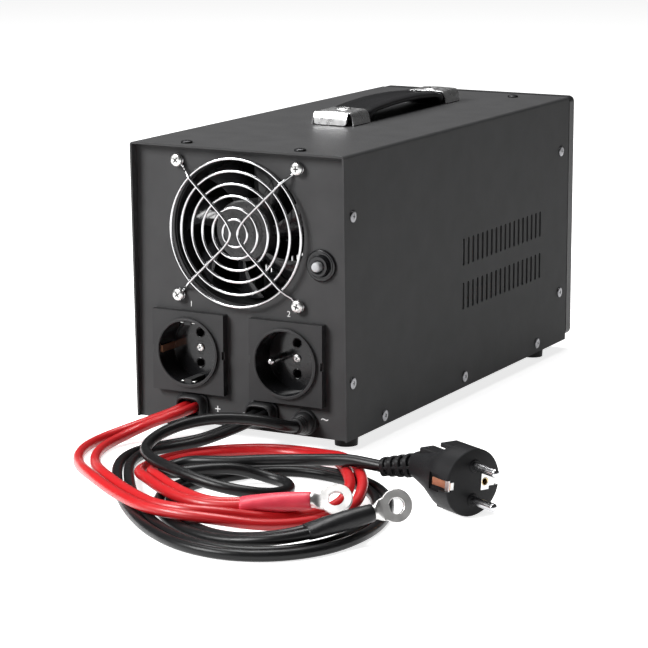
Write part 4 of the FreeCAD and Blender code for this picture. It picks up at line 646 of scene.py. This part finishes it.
def screws(name, spots, radius, height, material, replaces=(), turn=0.6):
    """Pan heads with a crossed recess and a dark cross of painted shade at its foot; a spot is the frame at
    the seat.
    """
    reach = 0.56
    heads, cuts, shades = bmesh.new(), bmesh.new(), bmesh.new()
    for index, spot in enumerate(spots):
        spin = spot @ Matrix.Rotation(turn + index * 1.9, 4, "Z")
        profile = [(radius * 0.94, -0.05), (radius, 0.15 * height), (radius, 0.4 * height)]
        profile += [(radius * math.cos(step * math.pi / 16) ** 0.6,
                     height * (0.4 + 0.6 * math.sin(step * math.pi / 16))) for step in range(1, 8)]
        lathe(profile, spin, 36, heads)
        top = spin @ Matrix.Translation((0, 0, height))
        wide, narrow, half, depth = radius * reach, radius * reach * 0.5, radius * 0.12, height * 0.6
        for turn_by in (0, math.pi / 2):
            frame_at = top @ Matrix.Rotation(turn_by, 4, "Z")
            grow = 1.02 if turn_by else 1.0
            lower = [(-narrow, -half * 0.6, -depth * grow), (narrow, -half * 0.6, -depth * grow),
                     (narrow, half * 0.6, -depth * grow), (-narrow, half * 0.6, -depth * grow)]
            upper = [(-wide, -half, 0.6), (wide, -half, 0.6), (wide, half, 0.6), (-wide, half, 0.6)]
            loft([[frame_at @ Vector(point) for point in ends] for ends in (lower, upper)], cuts)
            # A dark slab at the recess's foot, in painted shade.
            foot = Matrix.Translation((0, 0, -height * 0.36 * grow))
            block((wide * 1.5, half * 2, 0.1), frame_at @ foot, shades)
    piece(name + "_shade", mesh_of(shades), RECESS_PAINTED_SHADE)
    return piece(name, carved(mesh_of(heads), mesh_of(cuts)), material, replaces=replaces)


def rotor():
    """A stepped hub and seven swept, twisted blades that fade to a thin tip."""
    count, root, tip, stations, sides = 7, 18.2, 41.9, 10, 20
    place = rear(FAN.x, FAN.z)
    hub = lathe([(0.01, -5.0), (6.6, -5.0), (7.0, -4.7), (8.6, -4.7), (9, -4.9), (13.0, -4.9), (13.4, -5.2),
                 (17.2, -5.2), (18.3, -5.6), (18.7, -6.6), (18.7, -21), (17, -21.2), (16.4, -20.6),
                 (16.4, -9), (0.01, -9)], place, 96)
    piece("fan_hub", mesh_of(hub), HUB, "fan", replaces=["fan_rotor"])
    blades = bmesh.new()
    for index in range(count):
        spin = place @ Matrix.Rotation(2 * math.pi * index / count, 4, "Z")
        rings = []
        for step in range(stations + 1):
            share = step / stations
            radius = root + (tip - root) * share
            sweep = math.radians(-4 + 20 * share)
            pitch = math.radians(52 - 22 * share)
            chord = 15.5 + 8.5 * share
            thick = 1.5 - 0.8 * share
            ring = []
            for side in range(sides):
                angle = 2 * math.pi * side / sides
                u, v = math.cos(angle), math.sin(angle)
                along_chord = u * chord / 2
                camber = (1 - u * u) * chord * 0.09
                across = v * thick / 2 * (1 - 0.4 * u)
                tangent = along_chord * math.cos(pitch) - (across + camber) * math.sin(pitch)
                height = -13.2 + along_chord * math.sin(pitch) * 0.82 + (across + camber) * math.cos(pitch)
                around = sweep + tangent / radius
                ring.append(spin @ Vector((radius * math.cos(around), radius * math.sin(around), height)))
            rings.append(ring)
        loft(rings, blades)
    piece("fan_blades", mesh_of(blades), GLOSS, "fan", crease=60)


# ---------------------------------------------------------------- rear panel fittings

def breaker():
    """A stepped collar round a bore, and the button that stands in it."""
    place = rear(BREAKER.x, BREAKER.z)
    collar = lathe([(9.3, 0), (9.75, 0.3), (9.75, 1.2), (9.5, 1.6), (9.0, 1.75), (8.9, 1.5), (8.3, 1.5),
                    (8.2, 2.0), (7.6, 2.0), (7.5, 1.7), (6.9, 1.7), (6.6, 2.2), (6.2, 4.5), (5.9, 4.95),
                    (5.2, 5.0), (4.0, 4.9), (3.35, 4.7), (3.2, 4.2), (3.15, 0.5)], place, 72, caps=False)
    piece("breaker_ring", mesh_of(collar), GLOSS, replaces=["breaker_collar"])
    button = lathe([(0.01, 8.2), (1.6, 8.15), (2.4, 7.9), (2.8, 7.5), (2.95, 6.9), (2.95, -8)], place, 48)
    piece("breaker_cap", mesh_of(button), GREY, "reset_button", replaces=["breaker_button"])


def gland(name, at, node):
    """A soft-cornered collar round a deep mouth, on a plate against the panel."""
    place = along((at.x, PANEL_Y, at.z), (0, -1, 0), (0, 0, 1))
    stations = [(0, 10.3, 8.3, 3.2, 0), (0.4, 10.5, 8.5, 3.2, 0), (1.6, 10.5, 8.5, 3.2, 0),
                (2.0, 10.2, 8.2, 3.2, 0), (2.3, 9.9, 7.7, 3, 0), (5.4, 9.8, 7.5, 3, 0), (6.8, 9.5, 7.2, 3, 0),
                (7.7, 9.0, 6.7, 3, 0), (8.0, 8.4, 6.1, 3, 0), (7.8, 7.8, 5.5, 3, 0), (7.2, 7.5, 5.1, 3, 0),
                (2.2, 7.3, 4.9, 3, 0)]
    piece(name, mesh_of(sections(stations, place, 64)), TRIM, replaces=[node])


def strain_relief():
    """A tapered boot: a flange, a rounded shoulder, and three fine grooves before its lip."""
    place = rear(RELIEF.x, RELIEF.z)
    profile = [(7.4, 0), (7.8, 0.4), (7.8, 2.3), (7.4, 2.9), (6.9, 3.0), (6.9, 4.6), (6.7, 5.6), (6.3, 6.6),
               (5.9, 7.4)]
    for step in range(3):
        start, size = 7.7 + step * 1.9, 5.75 - 0.3 * step
        profile += [(size, start), (size - 0.3, start + 0.15), (size - 0.3, start + 0.5),
                    (size - 0.05, start + 0.65)]
    profile += [(4.9, 13.2), (4.7, 13.8), (4.2, 14.0), (3.5, 14.0), (3.5, 12.5)]
    piece("boot", mesh_of(lathe(profile, place, 56)), TRIM, replaces=["mains_strain_relief"])


def outlet(side, bores):
    """The moulded lining of one socket: rim lip, well wall, polished floor with its holes, screw; the wall,
    floor and mouldings are a darker gloss black than the face, real gloss with painted shade for the deep
    well.
    """
    floor, pin_at, pin_hole = WELL_FLOOR, 9.5, 2.6
    centre = OUTLETS[side]
    place = rear(centre.x, centre.z)
    lip = lathe([(19.7, 6.4), (19.8, 6.9), (20.1, 7.1), (20.7, 7.1), (21.0, 6.9)], place, 128, caps=False)
    piece(f"outlet_{side}_lip", mesh_of(lip), OUTLET)
    # Wall, floor and mouldings in the darker gloss black: the well's real gloss, darkened further as painted
    # shade for its depth.
    wall = lathe([(19.74, 6.6), (19.5, 6.4), (19.5, floor + 0.9), (19.1, floor + 0.3), (18.6, floor + 0.25),
                  (18.6, floor + 0.05)], place, 128, caps=False)
    piece(f"outlet_{side}_wall", mesh_of(wall), GLOSS)
    disc = lathe([(18.7, floor + 0.02), (18.7, floor + 0.3)], place, 96)
    holes = bmesh.new()
    for across, up, radius in [(0, pin_at, pin_hole), (0, -pin_at, pin_hole)] + bores:
        spot = place @ Matrix.Translation((across, up, 0))
        lathe([(radius, floor - 1), (radius, floor + 1)], spot, 40, holes)
    piece(f"outlet_{side}_floor", carved(mesh_of(disc), mesh_of(holes)), GLOSS)
    rings = bmesh.new()
    for up in (-pin_at, pin_at):
        torus(2.95, 0.3, place @ Matrix.Translation((0, up, floor + 0.3)), rings, 40, 8)
    for up in (-1, 1):
        block((3.4, 0.5, 0.72), place @ Matrix.Translation((0, up * 3.9, floor + 0.3)), rings)
    piece(f"outlet_{side}_mouldings", mesh_of(rings), GLOSS)
    screws(f"outlet_{side}_screw", [rear(centre.x, centre.z, floor + 0.25)], 2.7, 1.4, ZINC,
           [f"socket_{side}_screw"], turn=0.5)


def guide_tabs():
    """Spring tabs on the guide ribs of the socket with side earths."""
    centre = OUTLETS["left"]
    place = rear(centre.x, centre.z)
    tabs = bmesh.new()
    for up in (-1, 1):
        for across in (-1, 1):
            block((2.0, 0.6, 2.6), place @ Matrix.Translation((across * 4.0, up * 18.2, 3.6)), tabs)
    piece("outlet_left_tabs", mesh_of(tabs), ZINC, bevel=0.2)


def mark(name, text, place, size):
    """A printed sign, as a film on a surface."""
    curve = bpy.data.curves.new(name, "FONT")
    curve.body = text
    curve.size = size
    curve.extrude = FILM
    curve.align_x = "CENTER"
    curve.align_y = "CENTER"
    curve.resolution_u = 4
    flat = linked(name, curve)
    mesh = evaluated(flat)
    bpy.data.objects.remove(flat)
    mesh.transform(place)
    piece(name, mesh, INK)


# ---------------------------------------------------------------- handle

def strip(rows, thick, bm=None):
    """A sheet of even thickness under a grid of rows of points."""
    bm = bm or bmesh.new()
    count, width = len(rows), len(rows[0])
    upper = [[bm.verts.new(point) for point in row] for row in rows]
    lower = []
    for i in range(count):
        line = []
        for j in range(width):
            run = rows[min(i + 1, count - 1)][j] - rows[max(i - 1, 0)][j]
            side = rows[i][min(j + 1, width - 1)] - rows[i][max(j - 1, 0)]
            line.append(bm.verts.new(rows[i][j] - run.cross(side).normalized() * thick))
        lower.append(line)
    for i in range(count - 1):
        for j in range(width - 1):
            bm.faces.new((upper[i][j], upper[i + 1][j], upper[i + 1][j + 1], upper[i][j + 1]))
            bm.faces.new((lower[i][j], lower[i][j + 1], lower[i + 1][j + 1], lower[i + 1][j]))
    rim = [(i, 0) for i in range(count)] + [(count - 1, j) for j in range(1, width)]
    rim += [(i, width - 1) for i in range(count - 2, -1, -1)] + [(0, j) for j in range(width - 2, 0, -1)]
    for (i, j), (next_i, next_j) in zip(rim, rim[1:] + rim[:1]):
        bm.faces.new((upper[i][j], lower[i][j], lower[next_i][next_j], upper[next_i][next_j]))
    return bm


def cap(name, node, end_y, way):
    """A stamped cap: bowed plate with flared side skirts, a folded end flap, and a dome round its screw."""
    thick, screw_at = 0.9, 17

    def at(u, v, w):
        return Vector((v * way, end_y + u * way, TOP_Z + w))

    body = []
    for u in (2.6, 3.0, 8, 14, 20, 24.4, 24.9):
        pinch = 0.25 if u in (2.6, 24.9) else 0.0
        flare = 0.5 * (u / 25)
        half = [(14.3 + flare, 0.35), (13.9 + flare * 0.8, 3.0), (13.4 + flare * 0.4, 5.6), (12.9, 6.8),
                (12.2, 7.5), (11.0, 7.85), (8.0, 8.0), (4.0, 8.12)]
        row = [at(u, -v, w - pinch) for v, w in half] + [at(u, 0, 8.16 - pinch)]
        row += [at(u, v, w - pinch) for v, w in reversed(half)]
        body.append(row)
    made = strip(body, thick)
    flap = []
    for across in (-11.9, -11.6, -10.8, -9.6, -5, 0, 5, 9.6, 10.8, 11.6, 11.9):
        corner = max(0.0, abs(across) - 9.4) / 2.5
        low = 0.5 + 2.5 * (1 - math.sqrt(max(0.0, 1 - corner * corner)))
        flap.append([at(2.8, across, 7.75), at(1.6, across, 7.6), at(0.9, across, 7.1), at(0.45, across, 6.2),
                     at(0.2, across, 4.0), at(0.05, across, low)])
    strip(flap, thick, made)
    piece(name, mesh_of(made), STAMPED, replaces=[node], bevel=0.12, crease=50)
    dome = lathe([(7.4, -0.2), (6.6, 0.15), (5.8, 0.75), (5.2, 1.25), (4.7, 1.4), (4.2, 1.2), (3.9, 0.6),
                  (3.8, -0.3)], facing(at(screw_at, 0, 8.1), (0, 0, 1)), 56, caps=False)
    piece(name + "_dome", mesh_of(dome), STAMPED)
    return facing(at(screw_at, 0, 8.2), (0, 0, 1))


def handle():
    """The two caps with their screws, and a grooved strap that settles onto the case at its ends."""
    half, steps = 14.4, 48
    rear_low, rear_high = (Vector(corner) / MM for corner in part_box("handle_cap_rear"))
    front_low, front_high = (Vector(corner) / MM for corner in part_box("handle_cap_front"))
    spots = [cap("cap_rear", "handle_cap_rear", rear_low.y, 1),
             cap("cap_front", "handle_cap_front", front_high.y, -1)]
    screws("cap_screws", spots, 3.5, 1.5, CHROME, ["handle_screws"])
    start, end = rear_high.y + 0.5, front_low.y - 0.5
    rows = []
    for step in range(steps + 1):
        share = step / steps
        y = start + (end - start) * share
        near = min(y - start, end - y)
        top = TOP_Z + 8.6 + 2.9 * (1 - (2 * share - 1) ** 2)
        settle = min(1.0, max(0.0, (near - 3) / 6))
        settle = settle * settle * (3 - 2 * settle)
        bottom = (TOP_Z + 0.4) * (1 - settle) + (top - 5) * settle
        edge = 0.94 + 0.06 * min(1.0, near / 1.5) ** 0.5
        ring = []
        for across, up in oval(half * edge, (top - bottom) / 2 * edge, 64, 3.2):
            groove = math.exp(-(across / 7.6) ** 4)
            rise = (top + bottom) / 2 + up - (1.5 * groove if up > 0 else -0.8 * groove * settle)
            ring.append(Vector((across, y, rise)))
        rows.append(ring)
    made = loft(rows)
    for low_y, high_y in ((rear_low.y + 4.2, start + 2), (end - 2, front_high.y - 4.2)):
        block((24, high_y - low_y, 3.2), Matrix.Translation((0, (low_y + high_y) / 2, TOP_Z + 2.1)), made)
    piece("grip", mesh_of(made), GRIP, "handle_strap", replaces=["handle_grip"], crease=50)


# ---------------------------------------------------------------- front

def front_details():
    """A trim frame round the window, two indicator lenses, and a plain sign over and under the switch."""
    low, high = (Vector(corner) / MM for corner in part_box("display_window"))
    centre = (low + high) / 2
    basis = Matrix(((-1, 0, 0), (0, 0, 1), (0, 1, 0))).to_4x4()
    frame_at = Matrix.Translation((centre.x, FACE_Y, centre.z)) @ basis
    half_wide, half_tall = (high.x - low.x) / 2, (high.z - low.z) / 2
    corners = ((1, 1, 0), (-1, 1, 90), (-1, -1, 180), (1, -1, 270))
    rings = []
    for inset, rise in ((2.6, 0.0), (2.5, 0.5), (2.1, 0.8), (0.5, 0.8), (0.1, 0.5), (0.0, 0.0)):
        round_by = 1.0 + inset * 0.6
        wide, tall = half_wide + inset - round_by, half_tall + inset - round_by
        ring = []
        for sign_x, sign_y, first in corners:
            for step in range(5):
                angle = math.radians(first + 22.5 * step)
                ring.append(frame_at @ Vector((sign_x * wide + round_by * math.cos(angle),
                                               sign_y * tall + round_by * math.sin(angle), rise)))
        rings.append(ring)
    piece("window_frame", mesh_of(loft(rings, caps=False)), GLOSS)
    lenses = bmesh.new()
    for number in (0, 1):
        spot = frame_at @ Matrix.Translation((-half_wide + 4 + 9 * number, -half_tall - 9, 0))
        lathe([(2.6, 0), (2.6, 0.5), (2.2, 0.8), (1.9, 0.7), (1.8, 0.9), (1.2, 1.3), (0.01, 1.5)],
              spot, 32, lenses)
    piece("indicator_lenses", mesh_of(lenses), RED_ROCKER)
    switch = middle("switch_frame")
    for text, up in (("1", 19), ("0", -19)):
        spot = Matrix.Translation((switch.x, FACE_Y + FILM, switch.z + up)) @ basis
        mark(f"switch_sign_{text}", text, spot, 6)


# ---------------------------------------------------------------- surroundings

def seen_rays(nodes, links):
    """1 for the camera's rays and for those that come off gloss or through glass, and 0 for the rest."""
    rays = nodes.new("ShaderNodeLightPath")
    seen = rays.outputs["Is Camera Ray"]
    for kind in ("Is Glossy Ray", "Is Transmission Ray"):
        larger = nodes.new("ShaderNodeMath")
        larger.operation = "MAXIMUM"
        links.new(seen, larger.inputs[0])
        links.new(rays.outputs[kind], larger.inputs[1])
        seen = larger.outputs["Value"]
    return seen


def stage_scene():
    """A pale floor, a world that is brighter on the lamps' side, and the lamps."""
    scene = bpy.context.scene
    floor_mesh = bpy.data.meshes.new("floor")
    reach = 6
    corners = [(-reach, -reach, 0), (reach, -reach, 0), (reach, reach, 0), (-reach, reach, 0)]
    floor_mesh.from_pydata(corners, [], [(0, 1, 2, 3)])
    floor = linked("floor", floor_mesh)
    made, nodes, links, shader = nodes_of("floor")
    shader.inputs["Base Color"].default_value = (0.8, 0.8, 0.8, 1)
    shader.inputs["Roughness"].default_value = 0.9
    shader.inputs["Specular IOR Level"].default_value = 0.0
    scaled = nodes.new("ShaderNodeMath")
    scaled.operation = "MULTIPLY"
    scaled.inputs[1].default_value = FLOOR_GLOW
    links.new(seen_rays(nodes, links), scaled.inputs[0])
    shader.inputs["Emission Color"].default_value = (1, 1, 1, 1)
    links.new(scaled.outputs["Value"], shader.inputs["Emission Strength"])
    floor_mesh.materials.append(made)

    world = bpy.data.worlds.new("world")
    scene.world = world
    world.use_nodes = True
    nodes, links = world.node_tree.nodes, world.node_tree.links
    background = nodes["Background"]
    place = nodes.new("ShaderNodeTexCoord")
    lit = nodes.new("ShaderNodeVectorMath")
    lit.operation = "DOT_PRODUCT"
    lit.inputs[1].default_value = Vector(WORLD_FROM).normalized()
    links.new(place.outputs["Generated"], lit.inputs[0])
    level = nodes.new("ShaderNodeMapRange")
    level.inputs["From Min"].default_value = -0.9
    level.inputs["From Max"].default_value = 0.95
    level.inputs["To Min"].default_value = WORLD_DARK
    level.inputs["To Max"].default_value = WORLD_BRIGHT
    links.new(lit.outputs["Value"], level.inputs["Value"])
    mixed = nodes.new("ShaderNodeMix")
    mixed.inputs["B"].default_value = 1.0
    links.new(seen_rays(nodes, links), mixed.inputs["Factor"])
    links.new(level.outputs["Result"], mixed.inputs["A"])
    links.new(mixed.outputs["Result"], background.inputs["Strength"])

    for name, at, size, power in LAMPS:
        data = bpy.data.lights.new(name, "AREA")
        data.shape = "RECTANGLE"
        data.size, data.size_y = size
        data.energy = power
        lamp = linked(name, data)
        toward = LIT_POINT - Vector(at)
        lamp.matrix_world = Matrix.Translation(at) @ toward.to_track_quat("-Z", "Y").to_matrix().to_4x4()
    scene.view_settings.view_transform = "Standard"


FLOOR_GLOW = 0.8
WORLD_DARK, WORLD_BRIGHT = 0.02, 0.8
WORLD_FROM = (-0.62, -0.5, 0.62)  # toward the world's brightest side
LIT_POINT = Vector((0, 0, 0.08))
# A lamp's name, its place, its size and its power
LAMPS = [
    ("key", (-1.1, -1.6, 1.25), (0.9, 0.9), 62),
    ("over", (-0.3, 0.2, 1.9), (1.2, 1.2), 44),
]

# The side screws' distances from the rear panel, and their heights
SIDE_SPOTS = [(5.2, 142.9), (5.2, 42.7), (47.2, 14), (162, 15), (279, 14.6), (316, 143.3), (317, 43.9)]
guard()
rotor()
breaker()
gland("gland_plus", PLUS, "gland_positive")
gland("gland_minus", MINUS, "gland_negative")
strain_relief()
outlet("left", [])
outlet("right", [(-10, 0, 2.6)])
guide_tabs()
screws("guard_screws",
       [rear(FAN.x + x * FAN_SCREWS, FAN.z + z * FAN_SCREWS, 1.8) for x in (-1, 1) for z in (-1, 1)],
       4.0, 2.6, ZINC, ["fan_screws"])
screws("side_heads",
       [facing((side * HALF_W, PANEL_Y + y, z), (side, 0, 0)) for side in (-1, 1) for y, z in SIDE_SPOTS],
       3.6, 0.95, NICKEL, ["side_screws"])
screws("top_heads", [facing((x, PANEL_Y + y, TOP_Z), (0, 0, 1)) for x in (-39, 39) for y in (4, 310)],
       3.6, 1.7, BLACKED, ["top_screws"])
handle()
front_details()
for sign, text, spot, right, up, size in (
        ("plus", "+", PLUS, 16.5, -1, 8), ("minus", "-", MINUS, -13.5, -1, 8),
        ("mains", "~", RELIEF, 12.5, 3, 9), ("outlet_1", "1", OUTLETS["left"], 0, 29, 5),
        ("outlet_2", "2", OUTLETS["right"], 0, 29, 5)):
    mark(f"sign_{sign}", text, rear(spot.x + right, spot.z + up, FILM), size)
stage_scene()
